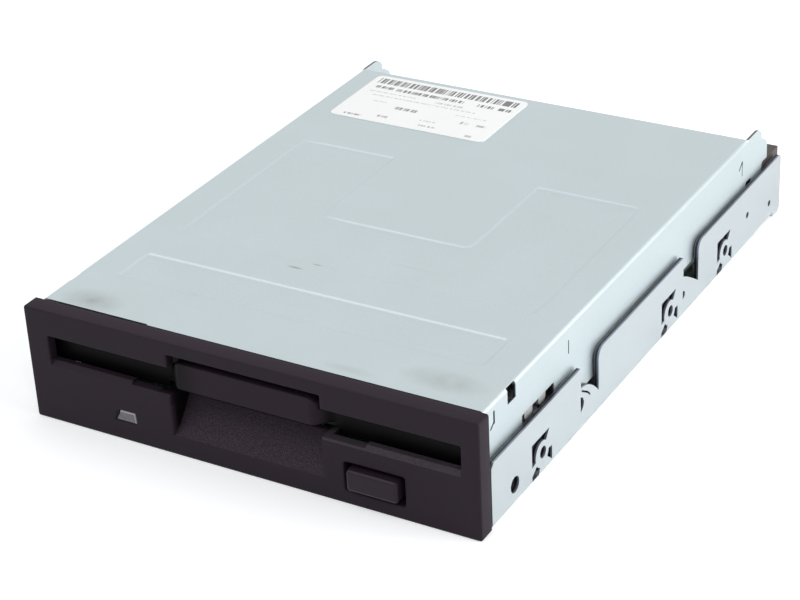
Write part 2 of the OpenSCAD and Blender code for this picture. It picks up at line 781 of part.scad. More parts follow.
module drive_pin() {
    color("silver") in_frame() translate([drive_pin_at, spindle_y, 0]) rotate_extrude()
        polygon([[0, 10.9], [drive_pin_r, 10.9], [drive_pin_r, 13.3], [0.8, 13.7], [0, 13.7]]);
}

module head_carriage() {
    bush_y = [96, 116];
    color("#2b2b2e") in_frame() difference() {
        union() {
            block([-8, head_y - 5, 9.4], [8, 112, 12.0]);
            block([-8, 97, 7.0], [8, 122, 12.0]);
            block([-18, bush_y[0], 5.6], [-7.9, bush_y[1], 10.8]);
            both_sides() block([5.5, 112, 11.9], [8, 122, 15]);
            both_sides() block([5.5, 116, 14.9], [8, 122, 18.9]);
            block([7.9, 99, 7.2], [follower_x, 107, 11.8]);
            block([-24, 109, 8.0], [-17.9, 110, 10.4]);
            block([-24, 109, 8.0], [-23.1, 114, 11.0]);
        }
        rod_y(rod_x, rod_z, rod_r + 0.04, bush_y[0] - 1, bush_y[1] + 1);
        rod_x(arm_pivot_y, arm_pivot_z, 0.8, -9, 9);
        block([-4.5, 97.5, 6], [4.5, 110, 9.2]);
    }
}

module lower_head() {
    color("#8d8d90") in_frame() {
        block([-4.6, head_y - 4, 12.0], [4.6, head_y + 4, 12.6]);
        block([-3, head_y - 3, 12.5], [3, head_y + 3, media_z - 0.3]);
        block([-2.2, head_y - 2.2, 13], [2.2, head_y + 2.2, media_z - 0.1]);
    }
}

// Turns a shape drawn in the loaded position up into the open position about the arm's pivot
module arm_open() {
    translate([0, arm_pivot_y, arm_pivot_z]) rotate([-arm_angle, 0, 0])
        translate([0, -arm_pivot_y, -arm_pivot_z]) children();
}

module upper_head_arm() {
    color("lightgray") in_frame() arm_open() difference() {
        union() {
            translate([0, 0, arm_low_z]) linear_extrude(arm_t)
                polygon([[-4.8, head_y - 5], [4.8, head_y - 5], [4.8, head_y + 5], [7.3, head_y + 12],
                         [7.3, 113.5], [5.2, 115], [5.2, arm_pivot_y + 1], [-5.2, arm_pivot_y + 1],
                         [-5.2, 115], [-7.3, 113.5], [-7.3, head_y + 12], [-4.8, head_y + 5]]);
            rod_x(arm_pivot_y, arm_pivot_z, 1.6, -5.2, 5.2);
            rod_x(103.3, 17.75, 0.5, -15, 15);
        }
        rod_x(arm_pivot_y, arm_pivot_z, 0.8 + run_fit, -6, 6);
        block([-3, 98, arm_low_z + 0.8], [3, 110, arm_low_z + 3]);
    }
}

module upper_head() {
    color("#8d8d90") in_frame() arm_open() {
        block([-3, head_y - 3, 14.6], [3, head_y + 3, arm_low_z]);
        block([-2.2, head_y - 2.2, media_z + 0.15], [2.2, head_y + 2.2, 14.7]);
    }
}

module arm_pivot_pin() {
    color("silver") in_frame() rod_x(arm_pivot_y, arm_pivot_z, 0.8, -9.4, 9.4);
}

module arm_spring() {
    color("dimgray") in_frame() {
        difference() {
            rod_x(arm_pivot_y, arm_pivot_z, 1.6, 8.1, 9.3);
            rod_x(arm_pivot_y, arm_pivot_z, 1.0, 8, 10);
        }
        arm_open() block([8.3, 108, 18.25], [8.7, arm_pivot_y, 18.65]);
        arm_open() block([4.5, 108, 18.25], [8.7, 108.4, 18.65]);
    }
}

module screw_follower() {
    color("#d8c27a") in_frame() {
        block([follower_x, 99.5, 7.5], [follower_x + 0.8, 106.5, 11.6]);
        block([follower_x + 0.7, 102, 8.8], [screw_x - screw_r - 0.1, 104, 10.4]);
    }
}

module stepper_motor() {
    color("gray") in_frame() difference() {
        union() {
            rod_y(screw_x, screw_z, stepper_r, stepper_y[0], stepper_y[1]);
            rod_y(screw_x, screw_z, 3, stepper_y[0] - 1.4, stepper_y[0] + 0.1);
            block([screw_x - 4, 120, 16], [screw_x + 4, 129, 19.5]);
        }
        rod_y(screw_x, screw_z, 1.04, stepper_y[0] - 2, stepper_y[1] - 3);
        difference() {
            rod_y(screw_x, screw_z, stepper_r + 1, 125.2, 125.8);
            rod_y(screw_x, screw_z, stepper_r - 0.4, 125, 126);
        }
    }
}

module stepper_bracket() {
    color("silver") in_frame() difference() {
        union() {
            block([screw_x - 5.5, 81.8, floor_top], [screw_x + 5.5, stepper_y[0], floor_top + 1]);
            block([screw_x - 3.5, 81.8, floor_top], [screw_x + 3.5, 82.8, 12.2]);
            block([screw_x - 6.5, stepper_y[0] - 1, floor_top], [screw_x + 8, stepper_y[0], 18.2]);
        }
        rod_y(screw_x, screw_z, 1.0 + run_fit, 80, 84);
        rod_y(screw_x, screw_z, 3.02, stepper_y[0] - 2, stepper_y[0] + 1);
        for (y = [88, 110]) rod_z(screw_x, y, 1.4, 0, 4);
    }
}

module bracket_screws() {
    color("silver") in_frame() for (y = [88, 110])
        screw(screw_x, y, floor_top + 1, 2.2, 1.2, 1.1, 1.9);
}

module lead_screw() {
    color("silver") in_frame() {
        rod_y(screw_x, screw_z, screw_r, 83.1, 116.4);
        rod_y(screw_x, screw_z, 1.0, 81.4, 129);
    }
}

module guide_rod() {
    color("silver") in_frame() rod_y(rod_x, rod_z, rod_r, 77, 128);
}

module rod_clamps() {
    over = rod_z + rod_r;
    color("gainsboro") in_frame() for (y = clamp_y) difference() {
        union() {
            block([-23, y, rod_z - rod_r], [-18, y + clamp_w, over + 0.6]);
            block([-23, y, over], [-12.6, y + clamp_w, over + 0.6]);
        }
        rod_z(-20.5, y + clamp_w / 2, 1.2, 5, 12);
    }
}

module clamp_screws() {
    color("silver") in_frame() for (y = clamp_y)
        screw(-20.5, y + clamp_w / 2, rod_z + rod_r + 0.6, 2.0, 1.1, 1.1, 6);
}

module main_board() {
    color("#1f5f3a") in_frame() translate([0, 0, pcb_z]) linear_extrude(pcb_t) difference() {
        union() {
            round_rect([-47.5, 97], [-24.5, 143.5], 1);
            round_rect([26.5, 97], [47.5, 143.5], 1);
            round_rect([-47.5, 134.3], [47.5, 143.5], 1);
        }
        for (p = pcb_screws) translate(p) circle(1.4);
    }
}

// Flat package with leads on two or four sides
module chip(x, y, w, d, h) {
    block([x - w / 2, y - d / 2, pcb_top + 0.15], [x + w / 2, y + d / 2, pcb_top + 0.15 + h]);
    block([x - w / 2 - 0.9, y - d / 2 + 0.8, pcb_top], [x + w / 2 + 0.9, y + d / 2 - 0.8, pcb_top + 0.5]);
}

module board_chips() {
    color("#202022") in_frame() {
        chip(36, 115, 14, 14, 2);
        chip(-37, 117, 7.5, 12, 2);
        chip(36, 131.5, 5, 6, 1.5);
    }
}

module crystal() {
    color("silver") in_frame() translate([0, 0, pcb_top]) linear_extrude(3.4)
        slot_2d([31.5, 102], [38, 102], 2.2);
}

module board_capacitors() {
    color("#7a7f86") in_frame() for (p = [[-29, 130], [-35.5, 131], [30.5, 126]])
        rod_z(p[0], p[1], 2.5, pcb_top, pcb_top + 5.4);
}

module board_screws() {
    color("silver") in_frame() for (p = pcb_screws)
        screw(p[0], p[1], pcb_top, 2.2, 1.2, 1.1, pcb_t + 3);
}

module track_zero_sensor() {
    color("#1b1b1d") in_frame() {
        block([-29, 108, pcb_top], [-20.2, 115, pcb_top + 1.2]);
        block([-28, 108.5, pcb_top], [-25.2, 114.5, pcb_top + 6]);
        block([-22.2, 110.6, pcb_top], [-20.2, 114.5, pcb_top + 6]);
    }
}

module ribbon_connectors() {
    color("ivory") in_frame() {
        block([-36, 98.5, pcb_top], [-32.3, 108, pcb_top + 2]);
        block([-31.5, 101, pcb_top], [-24.7, 103, pcb_top + 1.6]);
    }
}

module motor_ribbon() {
    w = [-31, -25];
    path = [[74, 3.4], [81, 3.4], [88, 6.3], [101, 6.2], [101, 6.4], [88, 6.5], [81, 3.6], [74, 3.6]];
    color("#d9d3c4") in_frame() yz_prism(w[0], w[1]) polygon(path);
}

module head_ribbon() {
    path = [[-8.4, 13.2], [-25, 13.2], [-29, 12], [-31, 9], [-32.3, 7.2], [-32.3, 7.4], [-31.2, 9.1],
            [-29.1, 12.2], [-25, 13.4], [-8.4, 13.4]];
    color("#c08a3e") in_frame() xz_prism(98, 107) polygon(path);
}

module interface_header() {
    wall = 1.1;
    color("#1c1c1e") in_frame() difference() {
        block([header_x[0], header_front_y, header_z[0]], [header_x[1], header_rear_y, header_z[1]]);
        block([header_x[0] + wall, header_front_y + 1.8, header_z[0] + wall],
              [header_x[1] - wall, header_rear_y + 1, header_z[1] - wall]);
        block([header_mid_x - 2.3, header_front_y + 3, header_z[1] - wall - 1],
              [header_mid_x + 2.3, header_rear_y + 1, header_z[1] + 1]);
        for (i = [0:header_cols - 1], j = [-1, 1]) {
            x = header_mid_x + (i - (header_cols - 1) / 2) * pitch;
            z = header_mid_z + j * pitch / 2;
            block([x - 0.32, 138, z - 0.32], [x + 0.32, 142, z + 0.32]);
        }
    }
}

module header_pins() {
    color("goldenrod") in_frame() for (i = [0:header_cols - 1], j = [-1, 1]) {
        x = header_mid_x + (i - (header_cols - 1) / 2) * pitch;
        z = header_mid_z + j * pitch / 2;
        foot = 137.4 - (j + 1) * pitch / 2;
        block([x - 0.32, foot - 0.32, z - 0.32], [x + 0.32, 146.9, z + 0.32]);
        block([x - 0.32, foot - 0.32, pcb_top], [x + 0.32, foot + 0.32, z]);
    }
}

module power_connector() {
    wall = 0.9;
    color("ivory") in_frame() difference() {
        block([power_x[0], 138.5, power_z[0]], [power_x[1], 147.4, power_z[1]]);
        block([power_x[0] + wall, 141, power_z[0] + wall], [power_x[1] - wall, 149, power_z[1] - wall]);
        for (i = [0:3]) {
            x = power_mid_x + (i - 1.5) * power_pitch;
            block([x - 0.32, 137, 8.88], [x + 0.32, 142, 9.52]);
        }
    }
}

module power_pins() {
    color("silver") in_frame() for (i = [0:3]) {
        x = power_mid_x + (i - 1.5) * power_pitch;
        block([x - 0.32, 137.3, 8.88], [x + 0.32, 146.4, 9.52]);
        block([x - 0.32, 137.3, pcb_top], [x + 0.32, 137.94, 9.5]);
    }
}

module switch_bodies() {
    color("#202022") in_frame() for (p = switch_at) difference() {
        block([p[0] - 2.8, p[1] - 2.8, board_z + board_t], [p[0] + 2.8, p[1] + 2.8, 11.4]);
        rod_z(p[0], p[1], 1.2 + run_fit, 9.4, 12);
    }
}

// Plunger of one sensing switch, with its rounded tip up
module plunger(i) {
    color("ivory") in_frame() translate([switch_at[i][0], switch_at[i][1], 0]) rotate_extrude()
        polygon([[0, 10.6], [1.2, 10.6], [1.2, 13.0], [0.8, 13.4], [0, 13.4]]);
}

module write_protect_plunger() { plunger(0); }
module disk_in_plunger() { plunger(1); }
module density_plunger() { plunger(2); }

chassis();
top_cover();
spec_label();
front_bezel();
dust_door();
dust_door_spring();
eject_button();
indicator_led();
led_leads();
disk_holder();
holder_pins();
eject_slider();
slider_springs();
slider_guide_posts();
datum_posts();
shutter_lever();
lever_pivot();
lever_spring();
motor_board();
motor_coils();
motor_screws();
spindle_bearing();
spindle_rotor();
rotor_magnet();
spindle_hub();
hub_magnet();
drive_pin();
head_carriage();
lower_head();
upper_head_arm();
upper_head();
arm_pivot_pin();
arm_spring();
screw_follower();
stepper_motor();
stepper_bracket();
bracket_screws();
lead_screw();
guide_rod();
rod_clamps();
clamp_screws();
main_board();
board_chips();
crystal();
board_capacitors();
board_screws();
track_zero_sensor();
ribbon_connectors();
motor_ribbon();
head_ribbon();
interface_header();
header_pins();
power_connector();
power_pins();
switch_bodies();
write_protect_plunger();
disk_in_plunger();
density_plunger();
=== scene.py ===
import math

import bmesh
import bpy
import numpy as np
from mathutils import Matrix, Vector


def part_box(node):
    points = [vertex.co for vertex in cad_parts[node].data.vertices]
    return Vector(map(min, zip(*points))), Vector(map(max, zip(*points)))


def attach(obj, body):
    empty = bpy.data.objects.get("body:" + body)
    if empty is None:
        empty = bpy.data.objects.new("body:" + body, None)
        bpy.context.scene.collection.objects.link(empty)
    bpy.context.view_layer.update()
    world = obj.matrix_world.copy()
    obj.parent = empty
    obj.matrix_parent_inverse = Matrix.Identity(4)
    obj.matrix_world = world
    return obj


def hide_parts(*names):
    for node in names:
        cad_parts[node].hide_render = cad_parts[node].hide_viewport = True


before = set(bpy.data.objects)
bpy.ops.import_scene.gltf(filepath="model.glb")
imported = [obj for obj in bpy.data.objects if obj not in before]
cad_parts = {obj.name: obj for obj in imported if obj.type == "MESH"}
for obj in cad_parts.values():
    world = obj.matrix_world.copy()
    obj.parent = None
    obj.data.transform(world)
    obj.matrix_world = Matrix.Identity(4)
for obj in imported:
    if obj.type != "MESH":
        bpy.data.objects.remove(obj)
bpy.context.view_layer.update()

# The camera stands where the photograph was taken from: to the right of the front and above it,
# some 40 cm from the bezel, with a long lens that keeps the drive's edges nearly parallel.
azimuth, elevation, roll = (math.radians(a) for a in (31.0346, 29.0144, -2.9219))
camera_data = bpy.data.cameras.new("camera")
camera_data.sensor_width = 36
camera_data.lens = 99.13
camera = bpy.data.objects.new("camera", camera_data)
turn = Matrix.Rotation(azimuth, 3, "Z") @ Matrix.Rotation(math.pi / 2 - elevation, 3, "X")
camera.rotation_euler = (turn @ Matrix.Rotation(roll, 3, "Z")).to_euler()
camera.location = (0.209375, -0.362242, 0.233631)
bpy.context.scene.collection.objects.link(camera)
bpy.context.scene.camera = camera

# The floor is a plain pale sheet that takes the drive's soft shadow. It glows a little, but only where the
# camera or a reflection sees it, and more so far away, where it fades into the picture's white background.


def node(tree, kind, inputs=None, **settings):
    """Adds one shader node; inputs are plain values or the sockets that feed them, by name or number."""
    made = tree.nodes.new("ShaderNode" + kind)
    for name, value in settings.items():
        setattr(made, name, value)
    for name, value in (inputs or {}).items():
        socket = made.inputs[name]
        if isinstance(value, bpy.types.NodeSocket):
            tree.links.new(value, socket)
        else:
            socket.default_value = value
    return made


def math_node(tree, operation, *values, clamp=False):
    """Output of one Math node with this operation on these values or sockets."""
    return node(tree, "Math", dict(enumerate(values)), operation=operation, use_clamp=clamp).outputs[0]


def product(tree, total, *others):
    """Output of the Math nodes that multiply these values or sockets, one after the other."""
    for value in others:
        total = math_node(tree, "MULTIPLY", total, value)
    return total


bpy.context.scene.view_settings.view_transform = "Standard"
floor_size = 12
floor_mesh = bpy.data.meshes.new("floor")
corner = np.array([[-1, -1, 0], [1, -1, 0], [1, 1, 0], [-1, 1, 0]]) * floor_size
floor_mesh.from_pydata(corner.tolist(), [], [(0, 1, 2, 3)])
floor = bpy.data.objects.new("floor", floor_mesh)
bpy.context.scene.collection.objects.link(floor)
floor_paint = bpy.data.materials.new("pale_floor")
floor_paint.use_nodes = True
tree = floor_paint.node_tree
matt = tree.nodes["Principled BSDF"]
matt.inputs["Base Color"].default_value = (0.80, 0.81, 0.83, 1)
matt.inputs["Roughness"].default_value = 1.0
matt.inputs["Specular IOR Level"].default_value = 0.0
ray = node(tree, "LightPath")
direct = math_node(tree, "MAXIMUM", ray.outputs["Is Camera Ray"], ray.outputs["Is Glossy Ray"])
matt.inputs["Emission Color"].default_value = (1, 1, 1, 1)
place = node(tree, "TexCoord").outputs["Object"]
away = node(tree, "VectorMath", {0: place}, operation="LENGTH").outputs["Value"]
glow = node(tree, "MapRange", {"Value": away, "From Min": 0.5, "From Max": 2.5,
                               "To Min": 0.36, "To Max": 0.6})
tree.links.new(product(tree, direct, glow.outputs[0]), matt.inputs["Emission Strength"])
floor_mesh.materials.append(floor_paint)

# The studio is a tent that looks white and lights the drive dimly, more from behind than from the front. A
# large lamp at the right is for the bright flank of the case, a weaker one stands above the front left, and
# a small one is for glints.
world = bpy.data.worlds.new("tent")
bpy.context.scene.world = world
world.use_nodes = True
tree = world.node_tree
ray = node(tree, "LightPath")
seen = math_node(tree, "MAXIMUM", ray.outputs["Is Camera Ray"], ray.outputs["Is Glossy Ray"])
seen = math_node(tree, "MAXIMUM", seen, ray.outputs["Is Transmission Ray"])
towards = node(tree, "SeparateXYZ", {0: node(tree, "TexCoord").outputs["Generated"]}).outputs[1]
dimmer = math_node(tree, "ADD", product(tree, towards, 0.17), 0.55)
unseen = product(tree, math_node(tree, "SUBTRACT", 1.0, seen), dimmer)
level = math_node(tree, "ADD", seen, unseen)
tent = tree.nodes["Background"]
tent.inputs["Color"].default_value = (1, 1, 1, 1)
tree.links.new(level, tent.inputs["Strength"])


def lamp(name, place, power, size, colour):
    """A square area lamp at a place in metres, turned towards the middle of the drive."""
    data = bpy.data.lights.new(name, "AREA")
    data.energy = power
    data.size = size
    data.color = colour
    made = bpy.data.objects.new(name, data)
    made.location = place
    made.rotation_euler = (-made.location).to_track_quat("-Z", "Y").to_euler()
    bpy.context.scene.collection.objects.link(made)


lamp("key", (1.1, 0.25, 0.55), 13, 0.9, (1.0, 0.985, 0.96))
lamp("fill", (-0.5, -0.7, 1.2), 6, 1.0, (0.96, 0.98, 1.0))
lamp("spark", (0.26, -0.34, 0.52), 0.3, 0.05, (1.0, 0.97, 0.96))

# Chassis: a tray pressed from one millimetre zinc-plated steel, with its two side walls folded up in
# three stretches each. The round pads hold the tapped M3 holes that the drive is fastened by.
mm = 0.001


def new_group(name, inputs, outputs):
    """An empty shader group with these sockets, and its input and output nodes."""
    group = bpy.data.node_groups.new(name, "ShaderNodeTree")
    for label, kind, value in inputs:
        socket = group.interface.new_socket(label, in_out="INPUT", socket_type="NodeSocket" + kind)
        if value is not None:
            socket.default_value = value
    for label, kind in outputs:
        group.interface.new_socket(label, in_out="OUTPUT", socket_type="NodeSocket" + kind)
    return group, group.nodes.new("NodeGroupInput").outputs, group.nodes.new("NodeGroupOutput").inputs


def swing(tree, value, amount):
    """Turns a 0 to 1 pattern into one that swings by the amount on both sides of zero."""
    return product(tree, math_node(tree, "SUBTRACT", value, 0.5), amount, 2.0)


uneven, given, result = new_group(
    "uneven_surface",
    [("Place", "Vector", None), ("Colour", "Color", (0.5, 0.5, 0.5, 1)), ("Roughness", "Float", 0.5),
     ("Patch Scale", "Float", 60.0), ("Patch Shade", "Float", 0.04), ("Patch Roughness", "Float", 0.05),
     ("Grain Scale", "Float", 3000.0), ("Grain Shade", "Float", 0.04)],
    [("Colour", "Color"), ("Roughness", "Float"), ("Height", "Float")])
patches = node(uneven, "TexNoise", {"Vector": given["Place"], "Scale": given["Patch Scale"],
                                    "Detail": 5.0, "Roughness": 0.6}).outputs["Fac"]
grain = node(uneven, "TexNoise", {"Vector": given["Place"], "Scale": given["Grain Scale"],
                                  "Detail": 2.0, "Roughness": 0.5}).outputs["Fac"]
shade = math_node(uneven, "ADD", swing(uneven, patches, given["Patch Shade"]), 1.0)
shade = math_node(uneven, "ADD", shade, swing(uneven, grain, given["Grain Shade"]))
scaled = node(uneven, "VectorMath", {0: given["Colour"], "Scale": shade}, operation="SCALE")
uneven.links.new(scaled.outputs[0], result["Colour"])
rough = math_node(uneven, "ADD", given["Roughness"], swing(uneven, patches, given["Patch Roughness"]))
uneven.links.new(rough, result["Roughness"])
uneven.links.new(grain, result["Height"])


def finish(name, colour, roughness, metallic=0.0, plain=None, patch_scale=60, patch_shade=0.04,
           patch_rough=0.05, grain_scale=3000, grain_shade=0.04, bump=0.3, depth=0.00002, stretch=(1, 1, 1)):
    """A new material: one Principled shader with plain values on its sockets, and the uneven surface's
    patches and grain in its colour, roughness and relief, on Object coordinates scaled by the stretch."""
    made = bpy.data.materials.new(name)
    made.use_nodes = True
    tree = made.node_tree
    shader = tree.nodes["Principled BSDF"].inputs
    values = {"Base Color": (*colour, 1), "Roughness": roughness, "Metallic": metallic, **(plain or {})}
    for label, value in values.items():
        shader[label].default_value = value
    place = node(tree, "TexCoord").outputs["Object"]
    if stretch != (1, 1, 1):
        place = node(tree, "Mapping", {"Vector": place, "Scale": stretch}).outputs[0]
    surface = node(tree, "Group", {"Place": place, "Colour": (*colour, 1), "Roughness": roughness,
                                   "Patch Scale": patch_scale, "Patch Shade": patch_shade,
                                   "Patch Roughness": patch_rough, "Grain Scale": grain_scale,
                                   "Grain Shade": grain_shade}, node_tree=uneven).outputs
    relief = node(tree, "Bump", {"Height": surface["Height"], "Strength": bump, "Distance": depth})
    tree.links.new(surface["Colour"], shader["Base Color"])
    tree.links.new(surface["Roughness"], shader["Roughness"])
    tree.links.new(relief.outputs[0], shader["Normal"])
    return made


def paint(material, *nodes):
    """Gives CAD nodes this material in place of their own."""
    for name in nodes:
        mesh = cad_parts[name].data
        mesh.materials.clear()
        mesh.materials.append(material)


def between(tree, value, low, high):
    """1 where the value lies between low and high, else 0."""
    above = math_node(tree, "GREATER_THAN", value, low)
    return product(tree, above, math_node(tree, "LESS_THAN", value, high))


def coloured(material, mask, colour, metallic=None):
    """Lays a second colour, and a second metallic value if given, over a material where the mask is 1."""
    tree = material.node_tree
    shader = tree.nodes["Principled BSDF"].inputs
    layers = {0: mask, 6: shader["Base Color"].links[0].from_socket, 7: (*colour, 1)}
    tree.links.new(node(tree, "Mix", layers, data_type="RGBA").outputs[2], shader["Base Color"])
    if metallic is not None:
        old = shader["Metallic"]
        under = old.links[0].from_socket if old.links else old.default_value
        kept = product(tree, under, math_node(tree, "SUBTRACT", 1.0, mask))
        tree.links.new(math_node(tree, "ADD", kept, product(tree, mask, metallic)), old)


def axes(material):
    """Object coordinates x, y and z of a material's surface, and the distance of x from the middle."""
    tree = material.node_tree
    place = node(tree, "SeparateXYZ", {0: node(tree, "TexCoord").outputs["Object"]}).outputs
    return place[0], place[1], place[2], math_node(tree, "ABSOLUTE", place[0])


cut_edge, given, result = new_group(
    "cut_edge",
    [("Height", "Float", 0.0), ("Off Middle", "Float", 0.0), ("Outside", "Float", 0.0507),
     ("Break", "Float", 0.0504), ("Inside", "Float", 0.0498), ("Lowest", "Float", 0.0),
     ("Highest", "Float", 0.02)],
    [("Burnished", "Float"), ("Broken Shaded", "Float")])
upright = between(cut_edge, given["Height"], given["Lowest"], given["Highest"])
for label, low, high in (("Burnished", "Break", "Outside"), ("Broken Shaded", "Inside", "Break")):
    band = between(cut_edge, given["Off Middle"], given[low], given[high])
    cut_edge.links.new(product(cut_edge, band, upright), result[label])


def cut_edges(material, outside, break_line, inside, lowest, highest):
    """Colours the cut edges of a sheet that stands upright at both sides, partly for the duller sheared steel
    and partly as painted shade from the narrow gaps beside them: the outer part of the thickness, which the
    punch has burnished, is mid grey, and the rest, where the steel broke off, is painted nearly black.
    The outside and inside lie a little within the sheet's faces, so that these keep their own colour."""
    z, off_middle = axes(material)[2:]
    bands = node(material.node_tree, "Group", {"Height": z, "Off Middle": off_middle, "Outside": outside,
                                               "Break": break_line, "Inside": inside, "Lowest": lowest,
                                               "Highest": highest}, node_tree=cut_edge).outputs
    # Painted shade in part: mid grey on the burnished band, nearly black on the broken band.
    coloured(material, bands["Burnished"], (0.22, 0.235, 0.30), 0.5)
    coloured(material, bands["Broken Shaded"], (0.018, 0.018, 0.024), 0.5)


steel_chassis = finish("steel_chassis", (0.515, 0.565, 0.585), 0.42, 1.0,
                       patch_shade=0.05, grain_scale=2600, grain_shade=0.05, bump=0.25, depth=0.00001)
# Painted shade in part: the chassis walls' cut edges are darkened.
cut_edges(steel_chassis, 50.74 * mm, 50.38 * mm, 49.84 * mm, 1.6 * mm, 20 * mm)
paint(steel_chassis, "chassis")

# Top cover: one sheet of the same steel, 0.6 mm thick, with a flange folded down on each side, two
# shallow pressed panels, and fins left standing at the rear corners. It clips over the chassis, and its top
# carries a few smudges and scuffs from handling.
bezel_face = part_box("front_bezel")[0].y


def new_piece(name, parts, material, body, slot, *stands_for):
    """Makes one piece from parts: each has points in millimetres, with y from the bezel's face, and quads."""
    points, quads, start = [], [], 0
    for part_points, part_quads in parts:
        points.append(part_points)
        quads.append(part_quads + start)
        start += len(part_points)
    points = np.concatenate(points) * mm + (0, bezel_face, 0)
    quads = np.concatenate(quads)
    mesh = bpy.data.meshes.new(name)
    mesh.from_pydata(points.tolist(), [], quads.tolist())
    merged = bmesh.new()
    merged.from_mesh(mesh)
    bmesh.ops.remove_doubles(merged, verts=merged.verts, dist=1e-6)
    bmesh.ops.dissolve_degenerate(merged, edges=merged.edges, dist=1e-7)
    bmesh.ops.recalc_face_normals(merged, faces=merged.faces)
    merged.to_mesh(mesh)
    merged.free()
    mesh.polygons.foreach_set("use_smooth", np.ones(len(mesh.polygons), bool))
    crease = math.radians(32)
    mesh.set_sharp_from_angle(angle=crease)
    mesh.materials.append(material)
    made = bpy.data.objects.new(name, mesh)
    bpy.context.scene.collection.objects.link(made)
    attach(made, body)
    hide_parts(*stands_for)
    return made


def spaced(lines, gap):
    """Rising grid lines, less each one that follows the line before it within the gap."""
    return lines[np.concatenate([[True], np.diff(lines) > gap])]


def lines_near(edges, offsets, low, high, step):
    """Grid lines from low to high: the edges, lines at the offsets on both sides of each, and even steps."""
    offsets = np.array(offsets)
    around = (np.array(edges)[:, None] + np.concatenate([-offsets, [0], offsets])).ravel()
    around = np.sort(np.concatenate([around[(around > low) & (around < high)], [low, high]]))
    kept = spaced(around, 0.012)
    kept[-1] = high
    between_lines = [np.linspace(a, b, max(2, math.ceil((b - a) / step) + 1))[:-1]
                     for a, b in zip(kept[:-1], kept[1:])]
    return np.concatenate(between_lines + [[high]])


def rectangle(u, v, low, high, r=0.0):
    """Distance to a rectangle with rounded corners between two corner points, negative inside it."""
    du = np.abs(u - (low[0] + high[0]) / 2) - (high[0] - low[0]) / 2 + r
    dv = np.abs(v - (low[1] + high[1]) / 2) - (high[1] - low[1]) / 2 + r
    return np.hypot(np.maximum(du, 0), np.maximum(dv, 0)) + np.minimum(np.maximum(du, dv), 0) - r


def outline(u, v, corners):
    """Distance to a polygon, negative inside it: the least distance to its sides, signed by crossings."""
    corners = np.array(corners, float)
    least = np.full(np.shape(u), 1e9)
    inside = np.zeros(np.shape(u), bool)
    for (u0, v0), (u1, v1) in zip(corners, np.roll(corners, -1, 0)):
        along = ((u - u0) * (u1 - u0) + (v - v0) * (v1 - v0)) / ((u1 - u0) ** 2 + (v1 - v0) ** 2)
        along = np.clip(along, 0, 1)
        least = np.minimum(least, np.hypot(u - u0 - along * (u1 - u0), v - v0 - along * (v1 - v0)))
        if v0 != v1:
            crosses = ((v0 > v) != (v1 > v)) & (u < (u1 - u0) * (v - v0) / (v1 - v0) + u0)
            inside ^= crosses
    return np.where(inside, -least, least)


def trimmed_grid(us, vs, distance):
    """Grid of (u, v) crossings and its kept cells: those whose middle lies inside the outline, where the
    distance is negative. Crossings on the cut then move onto the outline, against the distance's slope."""
    u, v = np.meshgrid(us, vs, indexing="ij")
    keep = distance((u[:-1, :-1] + u[1:, 1:]) / 2, (v[:-1, :-1] + v[1:, 1:]) / 2) < 0
    around = np.pad(keep, 1)
    near = np.stack([around[:-1, :-1], around[1:, :-1], around[:-1, 1:], around[1:, 1:]])
    rim = near.any(0) & ~near.all(0)
    h, passes = 0.004, 3
    for _ in range(passes):
        d = distance(u, v)
        du = (distance(u + h, v) - distance(u - h, v)) / (2 * h)
        dv = (distance(u, v + h) - distance(u, v - h)) / (2 * h)
        pull = np.where(rim & (du ** 2 + dv ** 2 > 0.3), d / np.maximum(du ** 2 + dv ** 2, 0.3), 0)
        u, v = u - pull * du, v - pull * dv
    return u, v, keep


def plate(front, back, keep):
    """Closed plate: kept cells of the front grid, the same cells of the back grid turned round, and a strip
    of quads between them along every edge that only one kept cell has."""
    rows, cols = keep.shape[0] + 1, keep.shape[1] + 1
    index = np.arange(rows * cols).reshape(rows, cols)
    a, b, c, d = index[:-1, :-1], index[1:, :-1], index[1:, 1:], index[:-1, 1:]
    behind = rows * cols
    quads = [np.stack([a, b, c, d], -1)[keep], np.stack([d, c, b, a], -1)[keep] + behind]
    around = np.pad(keep, 1)
    sides = ((around[1:-1, :-2], b, a), (around[1:-1, 2:], d, c), (around[2:, 1:-1], c, b),
             (around[:-2, 1:-1], a, d))
    for neighbour, p, q in sides:
        open_edge = keep & ~neighbour
        quads.append(np.stack([p, q, q + behind, p + behind], -1)[open_edge])
    used, quads = np.unique(np.concatenate(quads), return_inverse=True)
    points = np.concatenate([front.reshape(-1, 3), back.reshape(-1, 3)])
    return points[used], quads.reshape(-1, 4)


def ramp(x, low, high):
    """Smooth step from 0 at low to 1 at high."""
    t = np.clip((x - low) / (high - low), 0, 1)
    return t * t * (3 - 2 * t)


half_width, cover_top, sheet, bend = 49.5, 25.05, 0.6, 0.9
cover_front, cover_rear, fin_rear = 4.6, 129.9, 142.0
flange_low = 7.9
side_run, top_run, quarter = cover_top - bend, half_width - bend, bend * math.pi / 2
press_depth = 0.3


def around_cover(s):
    """Cross-section of the cover's outside: s runs from the middle of the top over the bend and down the
    flange. Gives x and z for each s, with the outward direction."""
    turned = np.clip((np.abs(s) - top_run) / quarter, 0, 1) * math.pi / 2
    down = np.maximum(np.abs(s) - top_run - quarter, 0)
    x = np.minimum(np.abs(s), top_run) + bend * np.sin(turned)
    z = side_run + bend * np.cos(turned) - down
    return np.sign(s) * x, z, np.sign(s) * np.sin(turned), np.cos(turned)


def height_on_flange(s):
    """Height z above the bezel's underside on the flange, carried on straight over the bend."""
    return side_run + top_run + quarter - np.abs(s)


